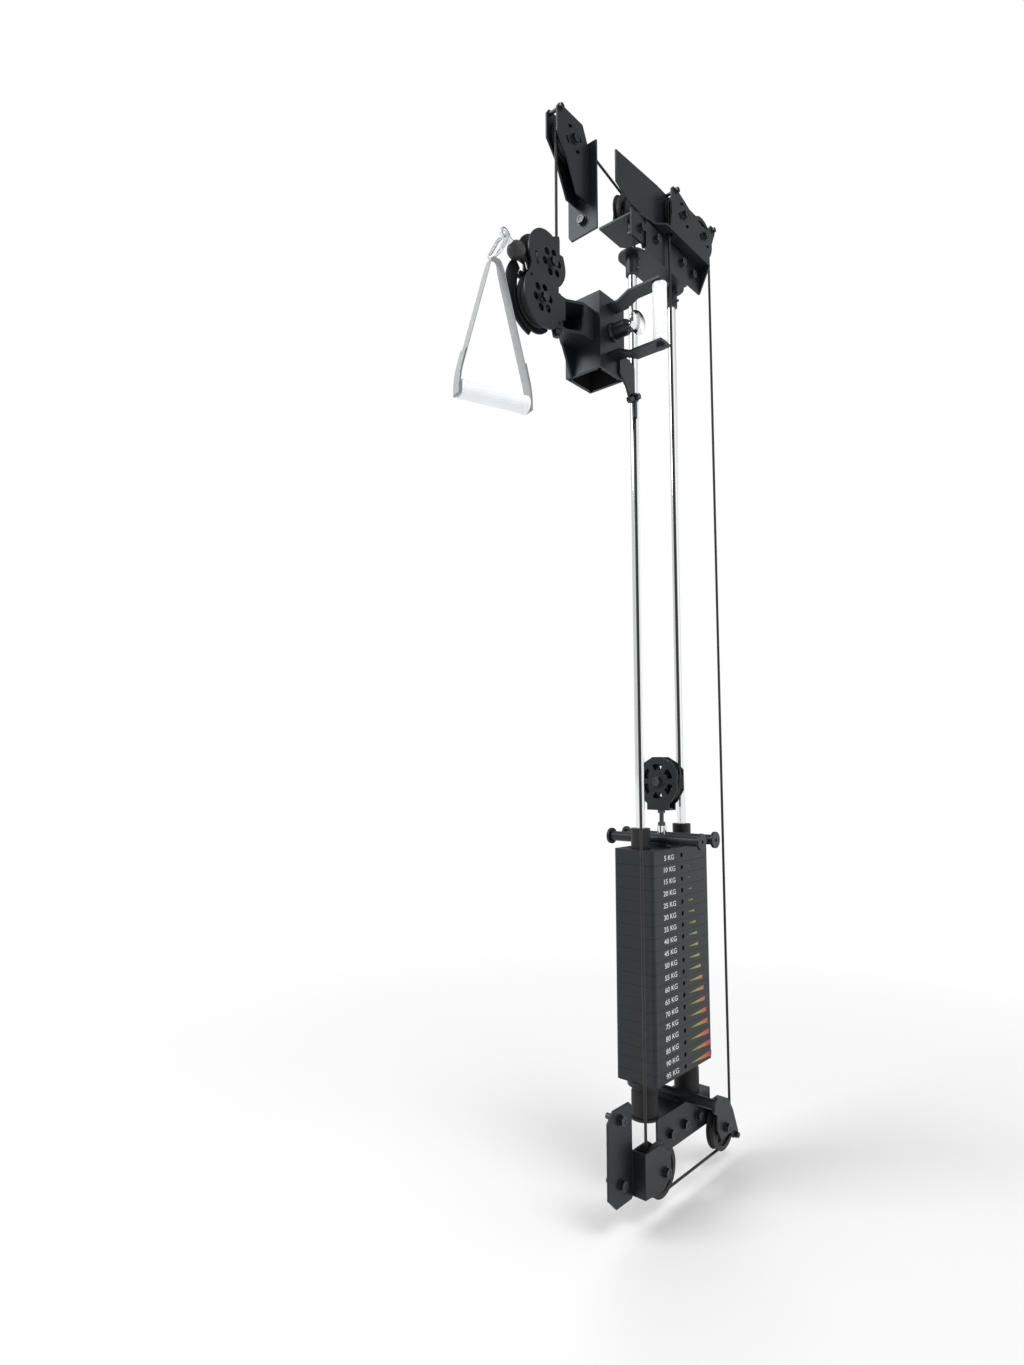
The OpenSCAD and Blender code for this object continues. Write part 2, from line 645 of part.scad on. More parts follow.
// Cheeks for the rear floor pulley, closed above by a web and welded to the base bracket
module lower_rear_bracket() {
    z = lower_pulley_z;
    roof = z + rim_r + 3;
    points = [[lower_rear_y - 42, roof], [lower_rear_y + 16, roof], [lower_rear_y + 34, z + 30],
        [lug_y + 14, z - 26], [lug_y + 8, z - 38], [lug_y - 12, z - 34],
        [lower_rear_y + 20, z - 16], [lower_rear_y - 24, z - 22], [lower_rear_y - 42, z + 6]];
    placed() color("dimgray") difference() {
        union() {
            sheet_x(points, cheek_x1, cheek_t);
            intersection() {
                sheet_x(points, cheek_x0 - cheek_t, cheek_t);
                translate([0, base_end_y, 0]) cube(200);
            }
            translate([tube_r + bracket_t, lower_rear_y - 42, roof])
                cube([cheek_x1 + cheek_t - tube_r - bracket_t, 58, cheek_t]);
        }
        bar_x(0, 100, lower_rear_y, z, axle_d + 0.1);
        bar_x(0, 100, lug_y + 3, z - 31, 8.1);
    }
}

// Axle bolts of the six pulleys on the brackets
module frame_axles() {
    placed() color("dimgray") {
        a = cheek_x0 - cheek_t;
        b = cheek_x1 + cheek_t;
        for (y = [wheel_a_y, wheel_b_y]) axle_x(a, b, y, upper_pulley_z);
        for (y = [lower_front_y, lower_rear_y]) axle_x(a, b, y, lower_pulley_z);
        axle_x(-head_in - cheek_t, head_in + cheek_t, top_wheel_y, upper_pulley_z);
        translate([inner_wheel_x, inner_wheel_y, inner_wheel_z]) rotate([0, 0, -inner_angle])
            axle_x(-head_in - cheek_t, head_in + cheek_t, 0, 0);
    }
}

// Pins across the cheeks that keep the cable in its grooves
module cable_retainers() {
    placed() color("dimgray") {
        for (p = [[wheel_a_y - 37, retain_z + 8], [lug_y, retain_z + 2],
                [lug_y + 3, lower_pulley_z - 31]]) {
            bar_x(cheek_x0 - cheek_t, cheek_x1 + cheek_t + 3, p[0], p[1], 8);
            translate([cheek_x1 + cheek_t, p[0], p[1]]) rotate([0, 90, 0]) hex_head(8, 5);
        }
        bar_x(-head_in - cheek_t, head_in + cheek_t + 3, -swivel_y - 4, retain_z + 7, 8);
        translate([head_in + cheek_t, -swivel_y - 4, retain_z + 7]) rotate([0, 90, 0])
            hex_head(8, 5);
    }
}

module top_wheel() {
    placed() color("black")
        wheel_x(0, top_wheel_y, upper_pulley_z, top_pitch_r, top_pitch_r + rim_lip);
}
module inner_wheel() {
    placed() color("black")
        wheel_x(inner_wheel_x, inner_wheel_y, inner_wheel_z, pitch_r, rim_r, -inner_angle);
}
module upper_wheel_a() {
    placed() color("black") wheel_x(outer_x, wheel_a_y, upper_pulley_z, pitch_r, rim_r);
}
module upper_wheel_b() {
    placed() color("black") wheel_x(outer_x, wheel_b_y, upper_pulley_z, pitch_r, rim_r);
}
module lower_rear_wheel() {
    placed() color("black") wheel_x(outer_x, lower_rear_y, lower_pulley_z, pitch_r, rim_r);
}
module lower_front_wheel() {
    placed() color("black") wheel_x(outer_x, lower_front_y, lower_pulley_z, pitch_r, rim_r);
}
module head_upper_wheel() {
    placed() color("black") wheel_x(0, nip_y, nip_z, nip_r, nip_r + rim_lip);
}
module head_lower_wheel() {
    placed() color("black") wheel_x(0, guide_y, guide_z, guide_r - rim_lip, guide_r);
}

// Square sleeve that slides on the tube
module trolley_sleeve() {
    s = sleeve_w / 2;
    i = s - sleeve_t;
    placed() color("dimgray") difference() {
        translate([-s, -s, sleeve_z]) cube([sleeve_w, sleeve_w, sleeve_h]);
        translate([-i, -i, sleeve_z - 1]) cube([2 * i, 2 * i, sleeve_h + 2]);
        bar_x(0, 100, 0, pin_z, pin_d + 2 * run_gap);
    }
}

// Four plastic wear strips inside the sleeve
module trolley_liners() {
    i = sleeve_w / 2 - sleeve_t;
    t = liner_t;
    l = 2 * tube_r - 6;
    placed() color("black") difference() {
        for (a = [0, 90, 180, 270]) rotate([0, 0, a])
            translate([i - t, -l / 2, sleeve_z]) cube([t, l, sleeve_h]);
        bar_x(0, 100, 0, pin_z, pin_d + 2);
    }
}

// Two tapered arms that carry the swivel axis, joined by upright webs on the sleeve
module yoke() {
    s = sleeve_w / 2;
    placed() color("dimgray") difference() {
        union() {
            for (z = [yoke_low, yoke_high]) translate([0, 0, z]) linear_extrude(yoke_t) union() {
                polygon([[-30, -s], [30, -s], [30, -s - 38], [11, -swivel_y + 18],
                    [11, -swivel_y], [-11, -swivel_y], [-11, -swivel_y + 18], [-30, -s - 38]]);
                translate([0, -swivel_y]) circle(r = 11);
            }
            for (x0 = [-30, 25])
                sheet_x([[-s, yoke_low + yoke_t], [-s, yoke_high], [-s - 36, yoke_high],
                    [-s - 36, yoke_low + yoke_t]], x0, 5);
            sheet_x([[-s, yoke_low], [-s, yoke_low - 70], [-s - 36, yoke_low]], -30, 5);
        }
        bar_z(yoke_low - 5, yoke_high + 20, 0, -swivel_y, axle_d + 0.1);
    }
}

// Two joggled flat arms of the grab handle
module grab_arms() {
    s = sleeve_w / 2;
    t = 6;
    w = 38;
    high = sleeve_z + sleeve_h - 20;
    low = sleeve_z + 41;
    placed() color("dimgray") {
        sheet_y([[s, high], [s + 25, high], [s + 52, high + 13], [grab_x + 12, high + 13],
            [grab_x + 12, high + 13 - t], [s + 54, high + 13 - t], [s + 27, high - t],
            [s, high - t]], -w / 2, w);
        sheet_y([[s, low], [s + 27, low], [s + 54, low - 13], [grab_x + 12, low - 13],
            [grab_x + 12, low - 13 - t], [s + 52, low - 13 - t], [s + 25, low - t],
            [s, low - t]], -w / 2, w);
        for (e = [high + 13, low - 13 - t - 7]) translate([grab_x, 0, e])
            cylinder(d = 19, h = 7, $fn = 6);
    }
}

// Upright round grip between the two arms
module grab_grip() {
    z0 = sleeve_z + 28;
    z1 = sleeve_z + sleeve_h - 13;
    placed() color("white") translate([grab_x, 0, z0]) rotate_extrude()
        polygon([[0, 0], [13, 0], [15, 3], [15, 9], [14, 14], [14, z1 - z0 - 14],
            [15, z1 - z0 - 9], [15, z1 - z0 - 3], [13, z1 - z0], [0, z1 - z0]]);
}

// Turned housing of the spring pin on the sleeve
module pin_housing() {
    s = sleeve_w / 2;
    placed() color("dimgray") translate([s, 0, pin_z]) rotate([0, 90, 0]) rotate_extrude()
        polygon([[pin_d / 2 + run_gap, 0], [20, 0], [20, 4], [17, 8], [17, 36], [14, 42],
            [6 + run_gap, 42], [6 + run_gap, 38], [12, 38], [12, 4], [pin_d / 2 + run_gap, 4]]);
}

// Pin that enters a hole of the tube, with its shoulder inside the housing and its neck
module pin_plunger() {
    s = sleeve_w / 2;
    placed() color("silver") translate([s, 0, pin_z]) rotate([0, 90, 0]) rotate_extrude()
        polygon([[0, -22], [pin_d / 2 - 2, -22], [pin_d / 2, -19], [pin_d / 2, 10], [11, 10],
            [11, 13], [6, 13], [6, 55], [0, 55]]);
}

// Return spring between the shoulder and the housing's cap, packed short for the drawn pin
module pin_spring() {
    s = sleeve_w / 2;
    placed() color("gray") translate([s, 0, pin_z]) rotate([0, 90, 0]) for (i = [0:2])
        translate([0, 0, 14.3 + 2.1 * i]) rotate_extrude()
            translate([8.8, 0]) circle(d = 1.8, $fn = 16);
}

// Mushroom knob on the pin's neck
module pin_knob() {
    s = sleeve_w / 2;
    placed() color("silver") translate([s + 48, 0, pin_z]) rotate([0, 90, 0]) rotate_extrude()
        polygon([[0, 7], [6.05, 7], [6.05, 0], [10, 0], [11, 6], [25, 11], [25.5, 15], [23, 20],
            [17, 24], [8, 26.5], [0, 27]]);
}

// Bent tab at the sleeve's lower corner that the cable's end hangs from
module anchor_tab() {
    s = sleeve_w / 2;
    placed() color("dimgray") difference() {
        union() {
            sheet_x([[20, sleeve_z + 10], [20, sleeve_z + 52], [return_y - 8, sleeve_z + 52],
                [return_y + 11, sleeve_z + 40], [return_y + 11, sleeve_z - 34],
                [return_y + 4, sleeve_z - 42], [return_y - 5, sleeve_z - 42],
                [s, sleeve_z - 12]], s, 5);
        }
        bar_x(0, 100, return_y, anchor_z, 8.1);
    }
}

// Clevis bolt through the tab and the swaged eye on the cable's end
module anchor_hook() {
    s = sleeve_w / 2;
    placed() color("silver") {
        bar_x(s - 6, outer_x + 7, return_y, anchor_z, 8);
        translate([s, return_y, anchor_z]) rotate([0, -90, 0]) cylinder(d = 15, h = 6, $fn = 6);
        translate([outer_x + 7, return_y, anchor_z]) rotate([0, 90, 0])
            cylinder(d = 15, h = 6, $fn = 6);
        difference() {
            union() {
                bar_x(outer_x - 5, outer_x + 5, return_y, anchor_z, 20);
                bar_z(anchor_z - 46, anchor_z, outer_x, return_y, 11);
            }
            bar_x(s, outer_x + 10, return_y, anchor_z, 8);
        }
    }
}

// Outline of one cheek of the swivel head: a lobe round each pulley and a tongue at the pivot
module head_outline() {
    difference() {
        union() {
            translate([nip_y - 14, nip_z + 2]) circle(r = 58);
            translate([guide_y + 4, guide_z]) circle(r = 60);
            polygon([[nip_y - 60, nip_z - 20], [nip_y + 20, nip_z + 30], [nip_y + 34, nip_z - 24],
                [-swivel_y - 13, nip_z - 42], [-swivel_y - 13, yoke_high - 1],
                [-swivel_y + 9, yoke_high - 1], [-swivel_y + 9, yoke_low + yoke_t + 12],
                [-swivel_y - 14, yoke_low + yoke_t + 1], [guide_y - 30, guide_z - 40],
                [guide_y - 56, guide_z]]);
            translate([nip_y, nip_z]) circle(r = 45);
            polygon([[nip_y - 40, nip_z + 50], [nip_y + 2, nip_z + 57], [nip_y + 24, nip_z + 68],
                [nip_y + 26, nip_z + 58], [nip_y + 34, nip_z + 32], [nip_y, nip_z]]);
        }
        translate([-swivel_y - 13, nip_z - 58]) square([60, 14]);
        translate([-swivel_y - 13, yoke_high - 1]) square([80, yoke_t + 12]);
        translate([-swivel_y - 15, yoke_low - 40]) square([80, yoke_t + 41]);
        translate([-swivel_y + 9, yoke_low - 40]) square([80, 106]);
        translate([nip_y + 26, nip_z + 30]) square([80, 80]);
    }
}

module head_cheeks() {
    placed() color("dimgray") difference() {
        for (x0 = [-head_in - head_t, head_in])
            translate([x0, 0, 0]) rotate([90, 0, 90]) linear_extrude(head_t) head_outline();
        cheek_holes(nip_y, nip_z, 23, 15.5);
        cheek_holes(guide_y, guide_z, 23, 15.5);
        arc_slot(nip_y, nip_z, 50, 180, 209, 7);
        bar_x(0, 40, nip_y - 64, nip_z - 56, 7);
        for (notch = [[guide_y - 53, guide_z + 14, 19, 20], [guide_y - 41, guide_z + 52, 14, 18]])
            translate([-head_in - head_t - 1, notch[0], notch[1]])
                cube([head_t + 2, notch[2], notch[3]]);
    }
}

// Pivot barrel welded between the cheeks, and the bolt it turns on
module head_pivot() {
    z0 = yoke_low + yoke_t + side_gap;
    placed() color("silver") {
        difference() {
            intersection() {
                bar_z(z0, yoke_high - side_gap, 0, -swivel_y, 26);
                translate([-head_in, -swivel_y - 20, z0]) cube([2 * head_in, 40, 100]);
            }
            bar_z(z0 - 1, yoke_high, 0, -swivel_y, axle_d + 2 * run_gap);
        }
    }
}

// Bolt of the swivel axis, held by the yoke
module pivot_bolt() {
    placed() color("silver") {
        bar_z(yoke_low - 16, yoke_high + yoke_t, 0, -swivel_y, axle_d);
        bar_z(yoke_high + yoke_t, yoke_high + yoke_t + 4, 0, -swivel_y, 18);
        translate([0, -swivel_y, yoke_low]) mirror([0, 0, 1]) hex_head(axle_d, 11);
    }
}

module head_axles() {
    placed() color("dimgray") for (p = [[nip_y, nip_z], [guide_y, guide_z]])
        axle_x(-head_in - head_t, head_in + head_t, p[0], p[1]);
}

// Flat crescent welded to the inner cheek, which guards the lower pulley and the cable's way to it
module arc_guard() {
    y = guard_y;
    z = guard_z;
    placed() color("dimgray") translate([-head_in - head_t - guard_t, 0, 0]) rotate([90, 0, 90])
        linear_extrude(guard_t) difference() {
            intersection() {
                translate([y, z]) circle(r = guard_r);
                polygon([[y, z], [y - 134, z + 149], [y - 300, z], [y - 59.5, z - 170],
                    [y + 0.4, z - 60.5]]);
            }
            translate([guide_y + 32, guide_z + 23.5]) circle(r = guard_in_r);
        }
}

// Ball on the cable's end, its collar and the flat eye for the carabiner
module ball_stop() {
    placed() color("dimgray") {
        difference() {
            translate([0, ball_y, ball_z]) sphere(d = ball_d);
            bar_between([0, exit_y, exit_z], [0, ball_y, ball_z], cable_d + 0.1);
        }
        difference() {
            union() {
                bar_between([0, ball_y, ball_z],
                    [0, eye_y + 9.5 * cos(eye_tilt), eye_z - 9.5 * sin(eye_tilt)], 13);
                translate([-2.5, eye_y, eye_z]) rotate([0, 90, 0]) cylinder(d = 26, h = 5);
            }
            bar_x(-10, 10, eye_y, eye_z, link_d + 6);
            translate([0, ball_y, ball_z]) sphere(d = ball_d);
        }
    }
}

// Places a loop that hangs from the eye, its own +Z up along the loop and its plane holding X
module on_link() {
    tilt = atan2(link_y - eye_y, eye_z - link_z);
    translate([0, eye_y, eye_z - link_hang]) rotate([tilt, 0, 0]) children();
}

// Long ring of round wire with a gap for the gate on its +X side
module carabiner() {
    r = link_r;
    l = link_l - link_w;
    placed() color("silver") on_link() difference() {
        union() {
            translate([0, 0, -r]) rotate([90, 0, 0]) rotate_extrude(angle = 180)
                translate([r, 0]) circle(d = link_d, $fn = 24);
            translate([0, 0, -r - l]) rotate([-90, 0, 0]) rotate_extrude(angle = 180)
                translate([r, 0]) circle(d = link_d, $fn = 24);
            bar_z(-r - l, -r, -r, 0, link_d);
        }
        bar_y(-link_d, link_d, r, -r - l, link_d + 0.6);
    }
}

module carabiner_gate() {
    r = link_r;
    l = link_l - link_w;
    placed() color("gray") on_link() {
        bar_y(-link_d / 2, link_d / 2, r, -r - l, link_d);
        bar_z(-r - l, -r - side_gap, r, 0, link_d - 1);
        bar_z(-r - l + 10, -r - l + 24, r, 0, link_d + 2);
    }
}

// Places the hand grip's frame: its own Y along the grip, X across the strap, Z up
module on_grip() {
    translate([0, link_y, grip_z]) rotate([0, 0, grip_turn - 90]) children();
}

// Webbing bent over the carabiner and down to both ends of the grip
module handle_strap() {
    t = 3;
    up = strap_top;
    half = grip_l / 2;
    placed() color("lightgray") on_grip() difference() {
        translate([-strap_w / 2, 0, 0]) rotate([90, 0, 90]) linear_extrude(strap_w) difference() {
            polygon([[-half - 5, -14], [-half - 5, 22], [-10, up], [10, up], [half + 5, 22],
                [half + 5, -14]]);
            polygon([[-half - 5 + t, -15], [-half - 5 + t, 20], [-7.5, up - t], [7.5, up - t],
                [half + 5 - t, 20], [half + 5 - t, -15]]);
        }
        rotate([90, 0, 0]) translate([0, 0, -half - 10]) cylinder(d = 9, h = grip_l + 20);
    }
}

// Rubber grip on a tube, with end discs
module handle_grip() {
    half = grip_l / 2;
    placed() color("white") on_grip() rotate([-90, 0, 0]) translate([0, 0, -half])
        rotate_extrude() polygon([[0, -4.5], [4.4, -4.5], [4.4, 0], [grip_d / 2 - 1, 0],
            [grip_d / 2, 1], [grip_d / 2, 6], [grip_d / 2 - 2, 8], [grip_d / 2 - 2, grip_l - 8],
            [grip_d / 2, grip_l - 6], [grip_d / 2, grip_l - 1], [grip_d / 2 - 1, grip_l],
            [4.4, grip_l], [4.4, grip_l + 4.5], [0, grip_l + 4.5]]);
}

module cable_front_strand() {
    placed() color("black") bar_z(nip_z, upper_pulley_z, 0, -swivel_y, cable_d);
}

// The two strands that the stack pulley hangs on
module cable_stack_strands() {
    placed() color("black") for (x = [inner_x, outer_x])
        bar_z(stack_wheel_z, inner_wheel_z, x, stack_y, cable_d);
}

module cable_stack_wrap() {
    placed() color("black") translate([stack_x, stack_y, stack_wheel_z]) rotate([-90, 0, 0])
        rotate_extrude(angle = 180, $fn = 96) translate([pitch_r, 0])
            circle(d = cable_d, $fn = 24);
}

// Every run of the cable that never changes length: over the top, and round the outer plane
module cable_fixed_runs() {
    z = upper_pulley_z;
    top = z + pitch_r;
    placed() color("black") {
        wrap_x(0, top_wheel_y, z, top_pitch_r, 90, 180);
        translate([inner_wheel_x, inner_wheel_y, 0]) rotate([0, 0, -inner_angle]) {
            run = norm([inner_wheel_x, inner_wheel_y - top_wheel_y]);
            bar_y(0.6 - run, 0, 0, z + top_pitch_r, cable_d);
            wrap_x(0, 0, inner_wheel_z, pitch_r, 0, 90);
        }
        bar_z(inner_wheel_z, z, outer_x, stack_y, cable_d);
        wrap_x(outer_x, wheel_a_y, z, pitch_r, 90, 180);
        bar_y(wheel_a_y, wheel_b_y, outer_x, top, cable_d);
        wrap_x(outer_x, wheel_b_y, z, pitch_r, 0, 90);
        bar_z(lower_pulley_z, z, outer_x, rear_strand_y, cable_d);
        wrap_x(outer_x, lower_rear_y, lower_pulley_z, pitch_r, 270, 360);
        bar_y(lower_front_y, lower_rear_y, outer_x, lower_pulley_z - pitch_r, cable_d);
        wrap_x(outer_x, lower_front_y, lower_pulley_z, pitch_r, 180, 270);
    }
}

module cable_return_strand() {
    placed() color("black") bar_z(lower_pulley_z, anchor_z - 46, outer_x, return_y, cable_d);
}

// The cable's free end, from the head's pulleys out to the ball
module cable_pull_end() {
    placed() color("black")
        bar_between([0, exit_y, exit_z], [0, ball_y, ball_z], cable_d);
}

// The turn of cable under the head's upper pulley
module cable_nip_turn() {
    placed() color("black") wrap_x(0, nip_y, nip_z, nip_r, exit_angle, 360);
}

base_bracket();
frame_bolts();
base_peg();
bumpers();
bumper_discs();
guide_rods();
rod_holder();
weight_plates();
upper_bracket();
inner_cheek();
outer_cheek();
inner_pulley_bracket();
top_bracket();
lower_front_bracket();
lower_rear_bracket();
frame_axles();
cable_retainers();
top_wheel();
inner_wheel();
stack_wheel();
upper_wheel_a();
upper_wheel_b();
lower_rear_wheel();
lower_front_wheel();
head_upper_wheel();
head_lower_wheel();
head_plate();
head_bushings();
head_pegs();
stack_coupling();
stack_cheeks();
stack_axle();
selector_rod();
trolley_sleeve();
trolley_liners();
union() {
    yoke();
    pivot_bolt();
}
grab_arms();
grab_grip();
pin_housing();
anchor_tab();
anchor_hook();
pin_plunger();
pin_spring();
pin_knob();
head_cheeks();
head_pivot();
head_axles();
arc_guard();
ball_stop();
carabiner();
carabiner_gate();
handle_strap();
handle_grip();
cable_front_strand();
cable_stack_strands();
cable_stack_wrap();
cable_fixed_runs();
cable_return_strand();
cable_pull_end();
cable_nip_turn();
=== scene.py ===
"""Cable pulley attachment: the looks of its stack, brackets, pulleys, trolley, head and handle."""
import json
import math

import bmesh
import bpy
import numpy as np
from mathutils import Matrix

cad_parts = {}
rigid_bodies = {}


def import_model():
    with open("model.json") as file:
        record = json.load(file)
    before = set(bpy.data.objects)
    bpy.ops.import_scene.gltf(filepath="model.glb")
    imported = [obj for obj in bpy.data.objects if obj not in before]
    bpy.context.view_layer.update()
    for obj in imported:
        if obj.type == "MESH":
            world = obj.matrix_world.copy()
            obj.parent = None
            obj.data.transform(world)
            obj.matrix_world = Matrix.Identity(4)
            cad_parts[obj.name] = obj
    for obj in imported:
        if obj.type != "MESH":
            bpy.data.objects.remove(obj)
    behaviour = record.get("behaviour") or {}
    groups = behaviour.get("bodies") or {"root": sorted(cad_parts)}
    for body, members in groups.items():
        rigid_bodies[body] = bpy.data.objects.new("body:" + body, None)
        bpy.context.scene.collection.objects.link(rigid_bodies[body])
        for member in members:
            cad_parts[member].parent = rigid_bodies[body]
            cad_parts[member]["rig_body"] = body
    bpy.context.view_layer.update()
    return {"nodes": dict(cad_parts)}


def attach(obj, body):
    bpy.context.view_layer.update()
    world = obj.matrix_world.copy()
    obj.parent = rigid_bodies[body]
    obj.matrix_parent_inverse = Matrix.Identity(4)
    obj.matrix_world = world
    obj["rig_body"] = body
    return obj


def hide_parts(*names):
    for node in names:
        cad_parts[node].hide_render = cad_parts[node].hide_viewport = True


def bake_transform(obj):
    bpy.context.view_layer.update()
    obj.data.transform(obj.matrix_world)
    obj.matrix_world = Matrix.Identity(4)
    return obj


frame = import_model()
NODES = frame["nodes"]
MM = 0.001

# Camera. The unit is bolted to a square post, whose centre at the floor is the zero of POST; every
# place below is measured from it in millimetres. The view was fitted to the post's hole pitch.
POST = np.array([-37.5, -248.0, -126.0])
CAMERA_SPOT = np.array([972.0, -1388.6, 915.6])
CAMERA_YAW = 41.127
CAMERA_PITCH = 5.50
FOCAL_PX = 807.3
PHOTO_HIGH_PX = 1365.0
SENSOR_MM = 36.0


def at(*place):
    """Turns millimetres from the post's centre at the floor into metres in the part's frame."""
    return (np.array(place, float) + POST) * MM


def link_new(name, data):
    made = bpy.data.objects.new(name, data)
    bpy.context.scene.collection.objects.link(made)
    return made


camera = link_new("camera", bpy.data.cameras.new("camera"))
camera.data.sensor_width = SENSOR_MM
camera.data.lens = FOCAL_PX / PHOTO_HIGH_PX * SENSOR_MM
camera.data.clip_start = 0.02
camera.data.clip_end = 80.0
camera.location = at(*CAMERA_SPOT)
camera.rotation_euler = (math.radians(90 + CAMERA_PITCH), 0, math.radians(CAMERA_YAW))
bpy.context.scene.camera = camera
bpy.context.scene.view_settings.view_transform = "Standard"

# Studio. A pale floor under the unit, a white world behind it, and large soft lamps in three
# places: high in front on the left, over the stack and behind. The front place has two, because
# shiny faces mirror only one of them. Apart from that lamp, what a glossy surface mirrors
# is bright toward the rear right and less so toward the front left, with dark cards that draw
# the line down each rod, and a dark one high up on the right.
FLOOR_WIDE = 60.0
FLOOR_TONE = 0.74
FLOOR_FADE = (0.7, 2.2)
WORLD_ON_OBJECT = 0.6
MIRROR_MEAN = 1.0
MIRROR_SWING = 0.3
MIRROR_BRIGHT_WAY = 45.0
CARDS = ((296.0, 26.0, 0.95), (20.0, 18.0, 0.35), (128.0, 20.0, 0.3))
HIGH_CARD_WAY = 80.0
HIGH_CARD_START = 0.3
HIGH_CARD_RISE = 0.35
LAMPS = {
    "front_lamp": ((-2.2, -3.6, 4.2), 2.6, 115.0, True),
    "front_fill": ((-2.2, -3.6, 4.2), 2.6, 100.0, False),
    "over_lamp": ((2.6, -0.6, 4.6), 2.4, 110.0, False),
    "rear_lamp": ((-2.6, 3.6, 3.0), 2.6, 55.0, False),
}
LAMP_AIM = (0.0, -0.1, 1.0)


class Value:
    """A shader value. Arithmetic with numbers or other values adds Math nodes to its tree."""

    def __init__(self, tree, socket):
        self.tree = tree
        self.socket = socket

    def math(self, operation, *others):
        made = self.tree.nodes.new("ShaderNodeMath")
        made.operation = operation
        for slot, given in zip(made.inputs, (self, *others)):
            if isinstance(given, Value):
                self.tree.links.new(given.socket, slot)
            else:
                slot.default_value = given
        return Value(self.tree, made.outputs[0])

    def __add__(self, other):
        return self.math("ADD", other)

    def __mul__(self, other):
        return self.math("MULTIPLY", other)

    def __sub__(self, other):
        return self.math("SUBTRACT", other)

    def __rsub__(self, other):
        return self.math("MULTIPLY_ADD", -1.0, other)


class Finish:
    """A material under way: one Principled shader and the nodes that feed its sockets."""

    def __init__(self, name, **sockets):
        self.material = bpy.data.materials.new(name)
        self.material.use_nodes = True
        self.tree = self.material.node_tree
        self.shader = self.tree.nodes["Principled BSDF"]
        for socket, given in sockets.items():
            self.shader.inputs[socket.replace("_", " ")].default_value = given
        self.place = self.node("ShaderNodeTexCoord", out="Object")

    def node(self, kind, out=0, settings=(), **sockets):
        """Adds a node, its settings first and then its sockets, and gives one of its outputs."""
        made = self.tree.nodes.new(kind)
        for key, setting in dict(settings).items():
            setattr(made, key, setting)
        for socket, given in sockets.items():
            slot = made.inputs[socket.replace("_", " ")]
            if isinstance(given, Value):
                self.tree.links.new(given.socket, slot)
            else:
                slot.default_value = given
        return Value(self.tree, made.outputs[out])

    def ramp(self, factor, *stops):
        """A colour ramp on factor, with stops of (place, grey or colour)."""
        made = self.tree.nodes.new("ShaderNodeValToRGB")
        self.tree.links.new(factor.socket, made.inputs[0])
        while len(made.color_ramp.elements) < len(stops):
            made.color_ramp.elements.new(0.5)
        for element, (place, colour) in zip(made.color_ramp.elements, stops):
            element.position = place
            shade = colour if isinstance(colour, tuple) else (colour,) * 3
            element.color = (*shade, 1)
        return Value(self.tree, made.outputs[0])

    def noise(self, scale, detail=3.0, roughness=0.55, place=None):
        return self.node("ShaderNodeTexNoise", Vector=place or self.place, Scale=scale,
                         Detail=detail, Roughness=roughness)

    def stretched(self, x, y, z):
        """Object coordinates scaled along each axis, for grain that runs one way."""
        return self.node("ShaderNodeMapping", Vector=self.place, Scale=(x, y, z))

    def feed(self, **sockets):
        for socket, given in sockets.items():
            self.tree.links.new(given.socket, self.shader.inputs[socket.replace("_", " ")])

    def bump(self, height, strength, depth):
        """Feeds the normal from a height between 0 and 1 that stands for depth metres."""
        self.feed(Normal=self.node("ShaderNodeBump", Height=height, Strength=strength,
                                   Distance=depth))


def stage_sheet(name, wide, height, material):
    h = wide / 2
    mesh = bpy.data.meshes.new(name)
    mesh.from_pydata([(-h, -h, height), (h, -h, height), (h, h, height), (-h, h, height)],
                     [], [(0, 1, 2, 3)])
    mesh.materials.append(material)
    link_new(name, mesh)


def floor_paint():
    """Pale paint near the unit that passes into plain white over the metres of FLOOR_FADE."""
    paint = bpy.data.materials.new("floor_paint")
    paint.use_nodes = True
    tree = paint.node_tree
    shader = tree.nodes["Principled BSDF"]
    shader.inputs["Base Color"].default_value = (FLOOR_TONE, FLOOR_TONE, FLOOR_TONE * 1.01, 1)
    shader.inputs["Roughness"].default_value = 0.6
    white = tree.nodes.new("ShaderNodeEmission")
    place = tree.nodes.new("ShaderNodeTexCoord")
    reach = tree.nodes.new("ShaderNodeVectorMath")
    reach.operation = "LENGTH"
    fade = tree.nodes.new("ShaderNodeMapRange")
    fade.inputs["From Min"].default_value = FLOOR_FADE[0]
    fade.inputs["From Max"].default_value = FLOOR_FADE[1]
    mixed = tree.nodes.new("ShaderNodeMixShader")
    tree.links.new(place.outputs["Object"], reach.inputs[0])
    tree.links.new(reach.outputs["Value"], fade.inputs["Value"])
    tree.links.new(fade.outputs[0], mixed.inputs[0])
    tree.links.new(shader.outputs[0], mixed.inputs[1])
    tree.links.new(white.outputs[0], mixed.inputs[2])
    tree.links.new(mixed.outputs[0], tree.nodes["Material Output"].inputs["Surface"])
    return paint


